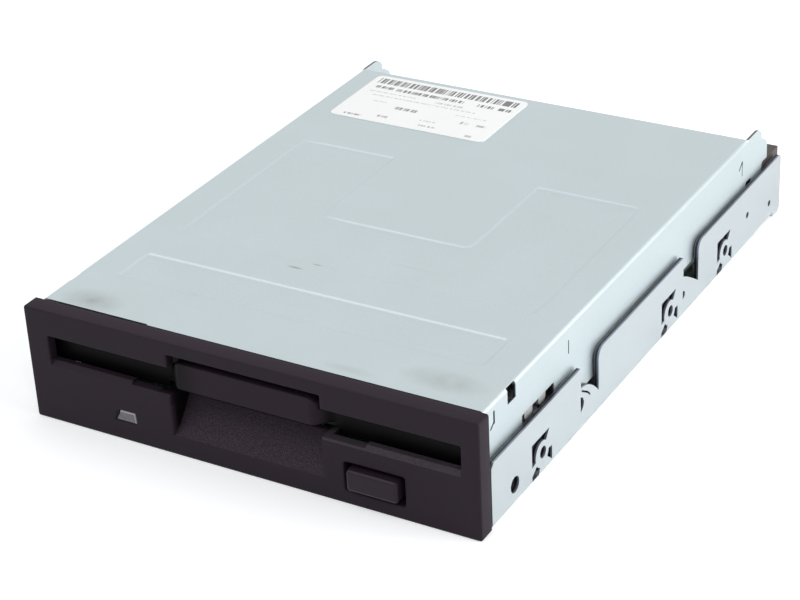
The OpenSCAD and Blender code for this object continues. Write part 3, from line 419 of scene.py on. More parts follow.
def stroke(u, v, start, end, r):
    """Distance to a line with round ends of radius r from start to end, negative inside it."""
    run_u, run_v = end[0] - start[0], end[1] - start[1]
    along = np.clip(((u - start[0]) * run_u + (v - start[1]) * run_v) / (run_u ** 2 + run_v ** 2), 0, 1)
    return np.hypot(u - start[0] - along * run_u, v - start[1] - along * run_v) - r


fin_outline = [(128, 9.8), (138.5, 9.8), (138.7, 13.4), (138.8, 15.1), (139, 15.6), (139.5, 15.8),
               (141.9, 15.7), (141.9, 19), (141.4, 20.2), (140.1, 21), (138.9, 21.4), (138.4, 22),
               (138.1, 23.4), (137.5, 24), (136.4, 24.7), (135.3, 24.9), (128, 24.9)]


def cover_outline(s, y):
    """Outline of the cover laid flat: top and flanges with the fins, less the step in the front edge, the
    notches round the bend, the windows and the slits. The left notch reaches further over the top."""
    z = height_on_flange(s)
    body = np.minimum(rectangle(y, z, (cover_front, flange_low), (70, 90)),
                      rectangle(y, z, (69, 9.8), (cover_rear, 90)))
    body = np.minimum(body, outline(y, z, fin_outline))
    step = np.where((s < -24.2) & (z > 20), cover_front + 0.3 - y, -9)
    cuts = [rectangle(y, z, (13.6, 21.5), (16.85, 25.0)),
            np.where(s < 0, rectangle(y, z, (13.2, 24.0), (16.5, 25.4)), 9),
            rectangle(y, z, (7.95, 20.5), (8.55, 23.3)),
            stroke(y, z, (6.9, 20.0), (8.2, 21.0), 0.25),
            rectangle(y, z, (19.2, 5.0), (32.5, 16.05), 0.2),
            rectangle(y, z, (38.85, 18.8), (39.2, 21.8)),
            rectangle(y, z, (126.85, 17.4), (127.2, 20.9)),
            stroke(y, z, (125.3, 19.6), (126.9, 21.0), 0.25),
            rectangle(y, z, (129.3, 11.6), (132.4, 14.9), 0.4)]
    return np.maximum.reduce([body, step] + [-cut for cut in cuts])


def pressed(x, y):
    """Depth of the two pressed panels: a smooth step along their outlines, soft in their corners."""
    front_panel = rectangle(x, y, (-41.8, 18.5), (42.2, 29.8), 1.4)
    rear_panel = np.maximum(rectangle(x, y, (-41.5, 39.7), (42.2, 90.2), 1.9),
                            -rectangle(x, y, (-17.3, 59.3), (17.4, 99), 1.9))
    return press_depth * ramp(-np.minimum(front_panel, rear_panel), -0.1, 0.75)


press_lines = (0.1, 0.25, 0.4, 0.6, 0.75, 0.95)
bend_lines = top_run + quarter * np.linspace(0, 1, 8)
flange_z = lines_near([flange_low, 9.8, 11.6, 14.9, 15.7, 16.05, 17.4, 18.8, 20.0, 20.5, 20.9, 21.5, 21.8,
                       23.3], (0.15, 0.35), flange_low, side_run, 0.7)
across = lines_near([17.35, 24.2, 41.5, 41.8, 42.2], press_lines, 0, top_run, 3.0)
right = np.unique(np.round(np.concatenate([across, bend_lines, top_run + quarter + side_run - flange_z]), 4))
runs = np.concatenate([-right[:0:-1], right])
panel_lines = lines_near([18.5, 29.8, 39.7, 59.3, 90.2], press_lines, cover_front, 126, 3.0)
front_lines = lines_near([4.9, 6.9, 7.95, 8.55, 13.6, 16.85, 19.2, 32.5, 38.85, 39.2], (0.12, 0.3),
                         cover_front, 40, 9)
rear_lines = lines_near([125.3, 126.85, 127.2, 129.3, 129.9, 132.4], (0.3,), 124.6, fin_rear, 0.45)
along = spaced(np.unique(np.round(np.concatenate([panel_lines, front_lines, rear_lines]), 4)), 0.05)
s, y, keep = trimmed_grid(runs, along, cover_outline)
x, z, out_x, out_z = around_cover(s)
on_fin = y > cover_rear + 0.05
x, z = np.where(on_fin, np.sign(s) * half_width, x), np.where(on_fin, height_on_flange(s), z)
out_x, out_z = np.where(on_fin, np.sign(s), out_x), np.where(on_fin, 0, out_z)
sunk = pressed(x, y) * (out_z > 0.99)
outside = np.stack([x, y, z - sunk], -1)
inside = np.stack([x - sheet * out_x, y, z - sheet * out_z - sunk], -1)
steel_cover = finish("steel_cover", (0.555, 0.63, 0.65), 0.45, 1.0,
                     patch_shade=0.035, grain_scale=2600, grain_shade=0.05, bump=0.25, depth=0.00001)
edge_outside, edge_break, edge_inside = 49.46 * mm, 49.25 * mm, 48.94 * mm
# Painted shade in part: the cover's cut edges below the bends are darkened.
cut_edges(steel_cover, edge_outside, edge_break, edge_inside, 0.0, 24.1 * mm)
tree = steel_cover.node_tree
x, y, z, off_middle = axes(steel_cover)
fin_tops = product(tree, between(tree, off_middle, edge_inside, edge_outside),
                   math_node(tree, "GREATER_THAN", z, 23.8 * mm),
                   math_node(tree, "GREATER_THAN", y, bezel_face + (cover_rear + 0.3) * mm))
coloured(steel_cover, fin_tops, (0.10, 0.085, 0.08), 0.3)
smudges = [((-40, 8), (8, 4.5), 0.5), ((38, 11), (10, 4), 0.4), ((20, 7), (7, 1.6), 0.2),
           ((-10.5, 36.8), (2.2, 0.45), 0.9), ((-6.9, 39.7), (1.6, 0.4), 0.8), ((12, 47), (9, 0.3), 0.12)]
place = node(tree, "TexCoord").outputs["Object"]
cloud = node(tree, "TexNoise", {"Vector": place, "Scale": 260, "Detail": 4.0}).outputs[0]
for (centre_x, centre_y), (wide, deep), strength in smudges:
    part_x = math_node(tree, "DIVIDE", math_node(tree, "SUBTRACT", x, centre_x * mm), wide * mm)
    part_y = math_node(tree, "DIVIDE", math_node(tree, "SUBTRACT", y, bezel_face + centre_y * mm), deep * mm)
    squares = math_node(tree, "ADD", product(tree, part_x, part_x), product(tree, part_y, part_y))
    near = math_node(tree, "SUBTRACT", 1.0, math_node(tree, "SQRT", squares), clamp=True)
    coloured(steel_cover, product(tree, near, cloud, 2 * strength), (0.30, 0.295, 0.28))
new_piece("pressed_cover", [plate(outside, inside, keep)], steel_cover, "drive", "steel_cover", "top_cover")

# Label: white self-adhesive paper on the cover, with a band of stripes and rows of plain printed strokes.
# The strokes stand for no letters: each row is cut up by an even noise.
label_low, label_high, label_round, paper_thick = (-43.6, 104.5), (-3.5, 128.3), 1.5, 0.1
xs, ys = (lines_near([low + 0.7, high - 0.7], (0.3, 0.6), low, high, 4)
          for low, high in zip(label_low, label_high))
x, y, keep = trimmed_grid(xs, ys, lambda u, v: rectangle(u, v, label_low, label_high, label_round))
paper_top = np.stack([x, y, np.full_like(x, cover_top + paper_thick)], -1)
print_rows = [(-42.0, -4.8, 124.2, 127.0, 0.85), (-41.0, -36.4, 121.6, 122.9, 0.85),
              (-35.4, -17.6, 121.4, 122.8, 0.85), (-13.8, -9.6, 121.3, 122.7, 0.85),
              (-8.4, -4.8, 121.3, 122.7, 0.85), (-41.2, -29.0, 119.4, 119.9, 0.35),
              (-24.0, -16.2, 119.0, 119.9, 0.4), (-39.8, -12.0, 117.5, 118.1, 0.3),
              (-30.8, -24.9, 112.4, 113.8, 0.7), (-37.5, -34.0, 114.6, 115.1, 0.35),
              (-40.6, -35.9, 105.8, 106.6, 0.7), (-32.6, -29.8, 107.2, 108.2, 0.6),
              (-21.6, -17.0, 106.6, 107.3, 0.6), (-22.2, -18.2, 109.2, 109.7, 0.45),
              (-13.0, -11.0, 111.2, 112.6, 0.5), (-8.9, -6.4, 111.4, 112.4, 0.5),
              (-8.8, -7.2, 105.6, 106.6, 0.45), (-16.0, -8.0, 114.9, 115.4, 0.3)]


def print_on(material, rows, ink):
    """Prints rows of strokes, each row given by its left, right, front and rear edge in millimetres and by
    how dark it is. A stroke shows where a noise that runs along the row lies over its middle."""
    tree = material.node_tree
    x, y = axes(material)[:2]
    noise = node(tree, "TexNoise", {"W": x, "Scale": 1700, "Detail": 1.0}, noise_dimensions="1D").outputs[0]
    strokes = math_node(tree, "GREATER_THAN", noise, 0.47)
    total = 0.0
    for low_x, high_x, low_y, high_y, dark in rows:
        row = product(tree, between(tree, x, low_x * mm, high_x * mm),
                      between(tree, y, bezel_face + low_y * mm, bezel_face + high_y * mm), dark)
        total = math_node(tree, "MAXIMUM", total, row)
    coloured(material, product(tree, total, strokes), ink)


paper = finish("label_white", (0.85, 0.86, 0.86), 0.6, bump=0.1)
print_on(paper, print_rows, (0.06, 0.06, 0.065))
new_piece("paper_label", [plate(paper_top, paper_top - (0, 0, paper_thick), keep)], paper, "drive",
          "label_white", "spec_label")

# Front bezel: one dark moulding that snaps onto the chassis, with openings for the disk, the button and
# the lamp, and a finger recess in the middle. Its faces have a fine spark-eroded texture, coarser in the
# recess, whose left wall carries painted shade that darkens it to nearly black. The lip under the slot's
# right half is painted paler, partly for wear from disks and partly as a painted highlight.
bezel_half, bezel_high, bezel_deep, wall, rim = 50.8, 25.4, 3.85, 2.2, 1.6
soft_edge = 0.38
slot_left, slot_right, slot_low, slot_high = -45.6, 46.85, 13.95, 19.6
lip_left, lip_right, lip_z = -26.2, 26.7, 13.4
chamfer_low, chamfer_deep = 13.0, 0.95
recess_left, recess_right, recess_low, recess_high = -16.9, 17.4, 4.2, 11.1
centre_high = 22.5
button_low, button_high = (21.9, 3.0), (34.9, 9.4)
lamp_outline = [(-30.95, 4.35), (-25.75, 4.35), (-25.95, 6.85), (-29.65, 6.85)]


def bezel_openings(x, z):
    """Distance to the openings seen from the front: disk slot, its lowered lip, recess, button and lamp."""
    parts = [rectangle(x, z, (slot_left, slot_low), (slot_right, slot_high), 0.3),
             rectangle(x, z, (lip_left, lip_z), (lip_right, slot_low + 1), 0.2),
             rectangle(x, z, (recess_left, recess_high), (recess_right, centre_high), 0.2),
             rectangle(x, z, button_low, button_high, 0.5),
             outline(x, z, lamp_outline)]
    return np.minimum.reduce(parts)


def bezel_shape(x, z):
    """Distance to the bezel seen from the front, negative inside the plastic."""
    whole = rectangle(x, z, (-bezel_half, 0), (bezel_half, bezel_high), 0.5)
    return np.maximum(whole, -bezel_openings(x, z))


def recess_depth(z):
    """Depth of the finger recess at a height: 6 t, where 0.62 t + 0.38 t^2 is the share of the recess's
    height, so that the floor runs in flatly at the bottom and rises more steeply towards the top edge."""
    rise = np.clip((z - recess_low) / (recess_high - recess_low), 0, 1)
    straight, curved = 0.62, 0.38
    return 6 * (np.sqrt(straight ** 2 + 4 * curved * rise) - straight) / (2 * curved)


def rounded_off(inset, r):
    """Depth of a quarter-round edge of radius r at an inset from the edge: r - sqrt(r^2 - (r - inset)^2)."""
    left = np.clip(r - inset, 0, r)
    return r - np.sqrt(np.maximum(r * r - left * left, 0))


def bezel_front(x, z):
    """Depth of the bezel's front: the flat face with every edge rounded off, the chamfer under the slot, and
    the finger recess, whose side walls stand upright."""
    recess = rectangle(x, z, (recess_left, recess_low), (recess_right, recess_high + 2))
    inset = np.minimum(-bezel_shape(x, z), soft_edge)
    by_recess = rounded_off(np.clip(recess, 0, soft_edge), soft_edge)
    face = np.maximum(rounded_off(inset, soft_edge), np.minimum(by_recess, recess_depth(z)))
    chamfer = np.minimum(z - chamfer_low, np.minimum(3 * (x - slot_left), 4 * (slot_right - x)))
    face = np.maximum(face, np.where(z < slot_low + 0.1, np.clip(chamfer, 0, chamfer_deep), 0))
    floor_of_recess = recess_depth(z) + rounded_off(inset, 0.25)
    return np.where(recess < -0.02, floor_of_recess, face)


def bezel_back(x, z):
    """Depth of the bezel's back: the wall, with a deep rim round it and thicker blocks at the openings."""
    depth = np.full_like(x, wall)
    blocks = [((-18.2, 3.4), (18.7, 7.15), 4.6), ((-18.2, 7.15), (18.7, lip_z + 0.1), 7.0),
              ((20.8, 2.0), (36, 10.4), 3.3), ((-32, 3.4), (-24.7, 7.8), bezel_deep)]
    for low, high, deep in blocks:
        depth = np.where(rectangle(x, z, low, high) < 0.01, deep, depth)
    in_rim = rectangle(x, z, (rim - bezel_half, rim), (bezel_half - rim, bezel_high - rim)) > -0.01
    return np.where(in_rim, bezel_deep, depth)


def grid_quads(rows, cols, closed=False):
    """Quads between neighbouring points of a grid, numbered row by row; a closed one also has quads between
    the last point and the first of its rows."""
    start = np.arange(rows - 1)[:, None] * cols
    j = np.arange(cols if closed else cols - 1)
    after = (j + 1) % cols
    return np.stack([start + j, start + cols + j, start + cols + after, start + after], -1).reshape(-1, 4)


def rounded_block(low, high, r, steps=2):
    """Box with round edges: every point of a cube's six gridded faces is a direction d on the unit ball and
    a corner c of the inner box, and lies at c + r d. The grid's middle line is doubled, one per corner."""
    low, high = np.array(low, float), np.array(high, float)
    half = (high - low) / 2
    r = min(r, half.min() * 0.999)
    turn = np.tan(np.linspace(-1, 1, 2 * steps + 1) * math.pi / 4)
    turn = np.concatenate([turn[:steps + 1], turn[steps:]])
    which = np.repeat([-1.0, 1.0], steps + 1)
    n = len(turn)
    points, quads = [], []
    for axis in range(3):
        for side in (-1, 1):
            a, b = [i for i in range(3) if i != axis]
            ball, inner = np.empty((n, n, 3)), np.empty((n, n, 3))
            ball[..., axis], inner[..., axis] = side, side
            ball[..., a], inner[..., a] = turn[:, None], which[:, None]
            ball[..., b], inner[..., b] = turn[None, :], which[None, :]
            ball /= np.linalg.norm(ball, axis=-1, keepdims=True)
            quads.append(grid_quads(n, n) + len(points) * n * n)
            points.append(((low + high) / 2 + inner * (half - r) + ball * r).reshape(-1, 3))
    return np.concatenate(points), np.concatenate(quads)


edge_lines = (0.05, 0.12, 0.2, 0.29, soft_edge)
xs = lines_near([slot_left, slot_left + 0.4, -30.95, -29.65, -25.75, lip_left, recess_left, recess_right,
                 button_low[0], lip_right, button_high[0], slot_right, -18.2, 18.7, 20.8, 36, -32,
                 rim - bezel_half, bezel_half - rim, -bezel_half, bezel_half],
                edge_lines, -bezel_half, bezel_half, 2.4)
zs = lines_near([0, button_low[1], recess_low, 4.35, 6.85, button_high[1], recess_high, chamfer_low, lip_z,
                 slot_low, slot_high, centre_high, 7.15, rim, bezel_high - rim, bezel_high],
                edge_lines, 0, bezel_high, 0.6)
x, z, keep = trimmed_grid(xs, zs, bezel_shape)
front = np.stack([x, bezel_front(x, z), z], -1)
back = np.stack([x, bezel_back(x, z), z], -1)
bezel_parts = [plate(front, back, keep)]
right_clips = [((47.3, 2.1, 19.8), (48.6, 9.4, 23.6)), ((31, 2.1, 1.55), (39, 7.8, 2.3)),
               ((33.3, 5.9, 0.7), (36.7, 7.1, 1.9))]
for low, high in right_clips:
    bezel_parts.append(rounded_block((-high[0], *low[1:]), (-low[0], *high[1:]), 0.25))
    bezel_parts.append(rounded_block(low, high, 0.25))
bezel_plastic = finish("bezel_plastic", (0.0227, 0.0153, 0.0230), 0.5, 0, {"Specular IOR Level": 0.1},
                       patch_shade=0.08, grain_scale=5200, grain_shade=0.14, bump=0.5, depth=0.00003)


def fade(tree, value, start, end):
    """0 where the value is at the start or before it, 1 at the end or past it, and an even rise between."""
    return math_node(tree, "DIVIDE", math_node(tree, "SUBTRACT", value, start), end - start, clamp=True)


tree = bezel_plastic.node_tree
x, y, z, off_middle = axes(bezel_plastic)
place = node(tree, "TexCoord").outputs["Object"]
coarse = node(tree, "TexNoise", {"Vector": place, "Scale": 5200, "Detail": 1.0}).outputs[0]
specks = fade(tree, coarse, 0.42, 0.62)
in_recess = product(tree, between(tree, z, 4.4 * mm, 11.2 * mm),
                    math_node(tree, "LESS_THAN", off_middle, 17.2 * mm),
                    math_node(tree, "GREATER_THAN", y, bezel_face + 0.12 * mm))
coloured(bezel_plastic, product(tree, in_recess, specks), (0.048, 0.036, 0.046))
# Partly wear from disks, partly a painted highlight: the lip under the slot's right half is painted paler.
on_lip = product(tree, between(tree, z, 12.95 * mm, 14.1 * mm), between(tree, x, 17.4 * mm, slot_right * mm),
                 math_node(tree, "GREATER_THAN", y, bezel_face + 0.06 * mm))
wear_and_highlight = math_node(tree, "ADD", product(tree, specks, 0.5), 0.4)
coloured(bezel_plastic, product(tree, on_lip, wear_and_highlight), (0.062, 0.052, 0.062))
# Painted shade: the recess's left wall darkens to nearly black from just behind its front edge inwards.
left_wall_shade = product(tree, between(tree, x, -19.9 * mm, -16.6 * mm), between(tree, z, 4.2 * mm, 14.8 * mm),
                    fade(tree, y, bezel_face + 0.3 * mm, bezel_face + 1.9 * mm))
coloured(bezel_plastic, left_wall_shade, (0.004, 0.003, 0.004))
new_piece("moulded_bezel", bezel_parts, bezel_plastic, "drive", "bezel_plastic", "front_bezel")

# Dust door: a thin dark moulding behind the slot, hung on a pin at each end of the round rib along its top.
# Its middle swells forward through the bezel and falls back to the wings in an S-curve. The wings, deep in
# the slot, and the left end, which faces away from the light, carry painted shade that darkens them.
door_left, door_right, wing_y, wing_t = -47.0, 47.0, 3.6, 0.8
door_low, wing_low, swell_low, swell_high = 14.3, 12.9, 15.1, 21.35
swell_half, swell_y, hinge = 14.6, 0.45, (0, 3.5, 21.3)


def swell(x):
    """How far the door's front stands from the bezel's face: flat in the middle, then half a cosine back."""
    t = np.clip((np.abs(x) - swell_half) / 4.4, 0, 1)
    return swell_y + (wing_y - swell_y) * (0.5 - 0.5 * np.cos(math.pi * t))


def door_front(x, z):
    """Depth of the door's front: the swelling with a round upper edge, round upper corners seen from the
    front, and a tight lower edge."""
    upper_r, lower_r = 0.6, 0.35
    upper = rounded_off(np.clip(swell_high - z, 0, upper_r), upper_r)
    lower = rounded_off(np.clip(z - swell_low, 0, lower_r), lower_r)
    middle = np.minimum(swell(x) + upper + lower, wing_y)
    round_top = rectangle(x, z, (-16.6, 10), (16.6, 21.45), 2.5)
    outside = np.minimum(round_top, rectangle(x, z, (-20, 10), (20, 18.8)))
    middle = wing_y - (wing_y - middle) * ramp(-outside, 0, 0.5)
    return np.where((z >= swell_low - 0.001) & (z <= swell_high), middle, wing_y)


def door_shape(x, z):
    """Distance to the door seen from the front: the wings, the hinge strip and the middle, less a notch."""
    body = np.minimum(rectangle(x, z, (door_left, door_low), (door_right, 20.7), 0.4),
                      rectangle(x, z, (-38, 18), (46, swell_high - 0.05), 0.3))
    body = np.minimum(body, rectangle(x, z, (door_left, wing_low), (-19.3, 18), 0.4))
    body = np.minimum(body, rectangle(x, z, (19.8, wing_low), (door_right, 18), 0.4))
    return np.maximum(body, -rectangle(x, z, (-45.2, 19.0), (-39.8, 20.9)))


corner_lines = np.arange(13.6, 19.2, 0.16)
xs = lines_near([-45.2, -39.8, -38, -19.3, -15.5, 15.5, 19.8, 46], (0.15, 0.3), door_left, door_right, 0.7)
xs = spaced(np.unique(np.round(np.concatenate([xs, -corner_lines, corner_lines]), 3)), 0.03)
zs = lines_near([door_low, swell_low, 20.7, 20.2, 19.0], (0.03, 0.1, 0.2, 0.35), wing_low, swell_high - 0.05,
                0.15)
x, z, keep = trimmed_grid(xs, zs, door_shape)
y = door_front(x, z)
hollow = (np.abs(x) < 15.5) & (z < 20.2) & (z > swell_low)
behind = np.where(hollow, np.minimum(y + 0.9, wing_y + wing_t), wing_y + wing_t)
front = np.stack([x, y, z], -1)
back = np.stack([x, behind, z], -1)


def turned(profile, centre, axis="z", around=32):
    """Turned shape: a profile of (radius, place along the axis) swept round an axis through the centre."""
    profile = np.array(profile, float)
    angle = np.linspace(0, 2 * math.pi, around, endpoint=False)
    wide = profile[:, 0, None] * np.cos(angle)
    tall = profile[:, 0, None] * np.sin(angle)
    along = np.broadcast_to(profile[:, 1, None], wide.shape)
    order = {"x": (along, wide, tall), "y": (tall, along, wide), "z": (wide, tall, along)}[axis]
    points = np.stack(order, -1).reshape(-1, 3) + np.array(centre, float)
    return points, grid_quads(len(profile), around, closed=True)


pin = [(0, -48.2), (0.5, -48.2), (0.68, -48.0), (0.68, 48.0), (0.5, 48.2), (0, 48.2)]
door_plastic = finish("door_plastic", (0.021, 0.0138, 0.021), 0.5, 0, {"Specular IOR Level": 0.1},
                      patch_shade=0.06, grain_scale=5200, grain_shade=0.12, bump=0.3, depth=0.00002)
tree = door_plastic.node_tree
x, y = axes(door_plastic)[:2]
# Painted shade: the door darkens to nearly black deeper in the slot and towards its left end.
deep_shade = fade(tree, y, bezel_face + 1.8 * mm, bezel_face + 3.0 * mm)
left_end_shade = fade(tree, x, -9 * mm, -16 * mm)
coloured(door_plastic, math_node(tree, "MAXIMUM", deep_shade, left_end_shade), (0.002, 0.0017, 0.002))
new_piece("swelled_door", [plate(front, back, keep), turned(pin, hinge, "x")], door_plastic, "door",
          "door_plastic", "dust_door")

# Eject button: a small dark block with rounded edges, moulded in a plastic like the bezel's but smoother,
# and pressed onto the slider's tongue.
button_plastic = finish("button_plastic", (0.021, 0.0138, 0.021), 0.3, 0, {"Specular IOR Level": 0.16},
                        patch_shade=0.05, grain_scale=5200, grain_shade=0.08, bump=0.25, depth=0.00002)
new_piece("push_button", [rounded_block((22.85, -1.3, 3.85), (33.95, 7.3, 8.55), 0.8, 5),
                          rounded_block((25.8, 7.1, 4.6), (31, 8.2, 7.8), 0.2)], button_plastic, "slider",
          "button_plastic", "eject_button")

# Indicator lamp: a clear lens that fills its sloping window in the bezel, with a wider foot behind the wall
# and two tinned leads bent down to the motor board. It is unlit. Its top and right edges are paler, because
# they catch the light.


def wire(path, radius, across, around=8):
    """Wire along a path: at each point p a ring p + r (a cos t + b sin t), where a and b stand square to the
    path and a is square to the direction across. The radius may change on the way; the ends are closed."""
    path = np.array(path, float)
    radius = np.broadcast_to(np.array(radius, float), len(path))
    ahead = np.gradient(path, axis=0)
    ahead /= np.linalg.norm(ahead, axis=1, keepdims=True)
    first = np.cross(ahead, across)
    first /= np.linalg.norm(first, axis=1, keepdims=True)
    second = np.cross(ahead, first)
    angle = (np.arange(around) + 0.5) * 2 * math.pi / around
    ring = first[:, None] * np.cos(angle)[:, None] + second[:, None] * np.sin(angle)[:, None]
    rings = path[:, None] + radius[:, None, None] * ring
    ends = [np.repeat(path[i][None, None], around, 1) for i in (0, -1)]
    rings = np.concatenate([ends[0], rings, ends[1]])
    return rings.reshape(-1, 3), grid_quads(len(rings), around, closed=True)


def bent_path(corners, r, steps=4):
    """Path through corners with each inner corner rounded: a curve a (1-t)^2 + 2 c t (1-t) + b t^2, where a
    and b lie the distance r before and after the corner c, or half way to the next corner if that is less."""
    corners = np.array(corners, float)
    t = np.linspace(0, 1, steps + 1)[:, None]
    parts = [corners[:1]]
    for before, c, after in zip(corners[:-2], corners[1:-1], corners[2:]):
        a = c + (before - c) * min(0.5, r / np.linalg.norm(before - c))
        b = c + (after - c) * min(0.5, r / np.linalg.norm(after - c))
        parts.append(a * (1 - t) ** 2 + 2 * c * t * (1 - t) + b * t ** 2)
    return np.concatenate(parts + [corners[-1:]])


lens_outline = [(-30.9, 4.4), (-25.8, 4.4), (-26.0, 6.8), (-29.6, 6.8)]
lens_edge = 0.35
xs = lines_near([-30.9, -29.6, -26.0, -25.8], (0.1, 0.25), -30.9, -25.8, 0.3)
zs = lines_near([4.4, 6.8], (0.1, 0.25), 4.4, 6.8, 0.3)
x, z, keep = trimmed_grid(xs, zs, lambda u, v: outline(u, v, lens_outline))
dome = 0.05 + rounded_off(np.clip(-outline(x, z, lens_outline), 0, lens_edge), lens_edge)
lens = plate(np.stack([x, dome, z], -1), np.stack([x, np.full_like(x, 4.2), z], -1), keep)
led_lens = finish("led_lens", (0.10, 0.09, 0.098), 0.12, 0, {"Coat Weight": 0.6},
                  patch_scale=900, patch_shade=0.6, grain_scale=1500, grain_shade=0.5, bump=0.2)
tree = led_lens.node_tree
x, y, z = axes(led_lens)[:3]
upright_x = math_node(tree, "ADD", x, product(tree, z, 0.083))
lit_side = math_node(tree, "GREATER_THAN", upright_x, -25.72 * mm)
lit_top = math_node(tree, "GREATER_THAN", z, 6.48 * mm)
coloured(led_lens, math_node(tree, "MAXIMUM", lit_top, lit_side), (0.36, 0.35, 0.37))
new_piece("lamp_lens", [lens, rounded_block((-31.2, 4.1, 4.0), (-25.5, 6.4, 7.3), 0.3)], led_lens, "drive",
          "led_lens", "indicator_led")
tinned_wire = finish("tinned_wire", (0.72, 0.73, 0.72), 0.3, 1.0, patch_scale=400, patch_shade=0.1,
                     patch_rough=0.12, grain_scale=4000, bump=0.15, depth=0.00001)
leads = [wire(bent_path([(mid, 6.4, 5.55), (mid, 10.25, 5.55), (mid, 10.25, 3.4)], 0.6), 0.3, (1, 0, 0), 4)
         for mid in (-29.62, -27.08)]
new_piece("lamp_leads", leads, tinned_wire, "drive", "tinned_wire", "led_leads")

# Disk holder: a cage folded from 0.6 mm plated steel that takes the disk, with a fork each side that runs on
# the chassis's stud, and four turned pins that ride in the slider's slots.
holder_steel = finish("holder_steel", (0.60, 0.60, 0.61), 0.4, 0.3, patch_shade=0.06, grain_scale=900,
                      grain_shade=0.06, bump=0.2, depth=0.00001, stretch=(1, 0.05, 1))
paint(holder_steel, "disk_holder")
pin_steel = finish("pin_steel", (0.6, 0.6, 0.61), 0.25, 1.0, patch_scale=300, patch_rough=0.08,
                   grain_scale=6000, grain_shade=0.05, bump=0.15, depth=0.000005, stretch=(1, 1, 0.1))
paint(pin_steel, "holder_pins")

# Eject slider: a flat frame of plated steel under the disk that the button pushes back, with four upright
# slotted ears that lift the holder. It slides on four turned posts; two more pairs of posts seat the disk.
slider_steel = finish("slider_steel", (0.54, 0.55, 0.56), 0.38, 1.0, patch_shade=0.07, grain_scale=900,
                      grain_shade=0.06, bump=0.2, depth=0.00001, stretch=(1, 0.05, 1))
paint(slider_steel, "eject_slider")
paint(pin_steel, "slider_guide_posts", "datum_posts")

# Springs of the slider: two drawn-wire pull springs, each hooked over a post on the tray by a long eye in
# front and hung on the slider's bent tab behind.


def coil(centre, axis, r, start, end, turns, phase=0.0):
    """Helix of radius r round an axis through the centre, whose angle grows evenly from start to end."""
    points_each_turn = 18
    t = np.linspace(0, 1, int(turns * points_each_turn) + 1)
    angle = phase + 2 * math.pi * turns * t
    along, wide, tall = start + (end - start) * t, r * np.cos(angle), r * np.sin(angle)
    order = {"x": (along, wide, tall), "y": (wide, along, tall), "z": (wide, tall, along)}[axis]
    return np.stack(order, -1) + np.array(centre, float)


spring_z, eye, wire_r = 7.4, 1.25, 0.22
half_turn = np.linspace(0, -math.pi, 13)
parts = []
for x in (-40.2, 40.2):
    winding = coil((x, 0, spring_z), "y", 1.37, 36.3, 56.7, 38)
    hook_x, hook_y = x + eye * np.cos(half_turn), 28.6 + eye * np.sin(half_turn)
    hook = np.stack([hook_x, hook_y, np.full_like(half_turn, spring_z)], -1)
    front_eye = np.concatenate([[winding[0], (x + eye, 35.4, spring_z)], hook, [(x - eye, 35.8, spring_z)]])
    tail = [winding[-1], (x + 0.9, 57.2, spring_z), (x, 57.8, spring_z), (x, 60, spring_z)]
    parts += [wire(winding, wire_r, (0, 1, 0)), wire(front_eye, wire_r, (0, 0, 1)),
              wire(bent_path(tail, 0.4), wire_r, (0, 0, 1))]
spring_steel = finish("spring_steel", (0.45, 0.46, 0.47), 0.3, 1.0, patch_scale=500, patch_shade=0.1,
                      grain_scale=5000, grain_shade=0.06, bump=0.15, depth=0.000005)
new_piece("pull_springs", parts, spring_steel, "slider", "spring_steel", "slider_springs")

# Spring of the dust door: a few turns of thin steel wire wound round the door's left pin, with one leg up
# behind the bezel.
door_coil = coil(hinge, "x", 1.0, -44.3, -41.2, 6.25, math.pi)
door_leg = bent_path([door_coil[-1], (-41.2, 2.5, 22.2), (-41.2, 2.5, 23.4)], 0.4)
new_piece("door_spring", [wire(door_coil, 0.19, (1, 0, 0)), wire(door_leg, 0.19, (1, 0, 0))], spring_steel,
          "drive", "spring_steel", "dust_door_spring")

# Shutter lever: a black acetal lever on top of the holder. Its peg pushes the disk's shutter open against a
# wire spring, and a riveted steel pivot with a head holds it.
lever_plastic = finish("lever_plastic", (0.03, 0.03, 0.033), 0.38, 0, patch_scale=200, patch_shade=0.1,
                       grain_scale=4000, grain_shade=0.08, bump=0.2, depth=0.00001)
paint(lever_plastic, "shutter_lever")
pivot = [(0, 18.9), (1.2, 18.9), (1.2, 19.5), (2.4, 19.5), (2.4, 19.8), (1.2, 19.8), (1.2, 22.5),
         (1.9, 22.5), (2.0, 22.6), (1.9, 22.8), (1.3, 22.97), (0.5, 22.99), (0.4, 22.9), (0, 22.88)]
new_piece("lever_rivet", [turned(pivot, (40, 72, 0))], pin_steel, "holder", "pin_steel", "lever_pivot")
lever_coil = coil((40, 72, 0), "z", 2.85, 21.1, 22.1, 3)
lever_leg = bent_path([lever_coil[0], (42.9, 74, 21.2), (42.9, 79.8, 21.2), (42.9, 79.8, 19.6)], 0.6)
new_piece("lever_wire", [wire(lever_coil, 0.2, (0, 0, 1)), wire(lever_leg, 0.2, (1, 0, 0))], spring_steel,
          "holder", "spring_steel", "lever_spring")

# Motor board: a green glass-epoxy board on the tray that carries the spindle's coils and the three sensing
# switches in front, held by three screws.
stripes, given, result = new_group(
    "stripes",
    [("Along", "Float", 0.0), ("Per Metre", "Float", 1000.0), ("Share", "Float", 0.5)],
    [("Stripe", "Float"), ("Number", "Float")])
run = product(stripes, given["Along"], given["Per Metre"])
stripe = math_node(stripes, "LESS_THAN", math_node(stripes, "FRACT", run), given["Share"])
stripes.links.new(stripe, result["Stripe"])
stripes.links.new(math_node(stripes, "FLOOR", run), result["Number"])


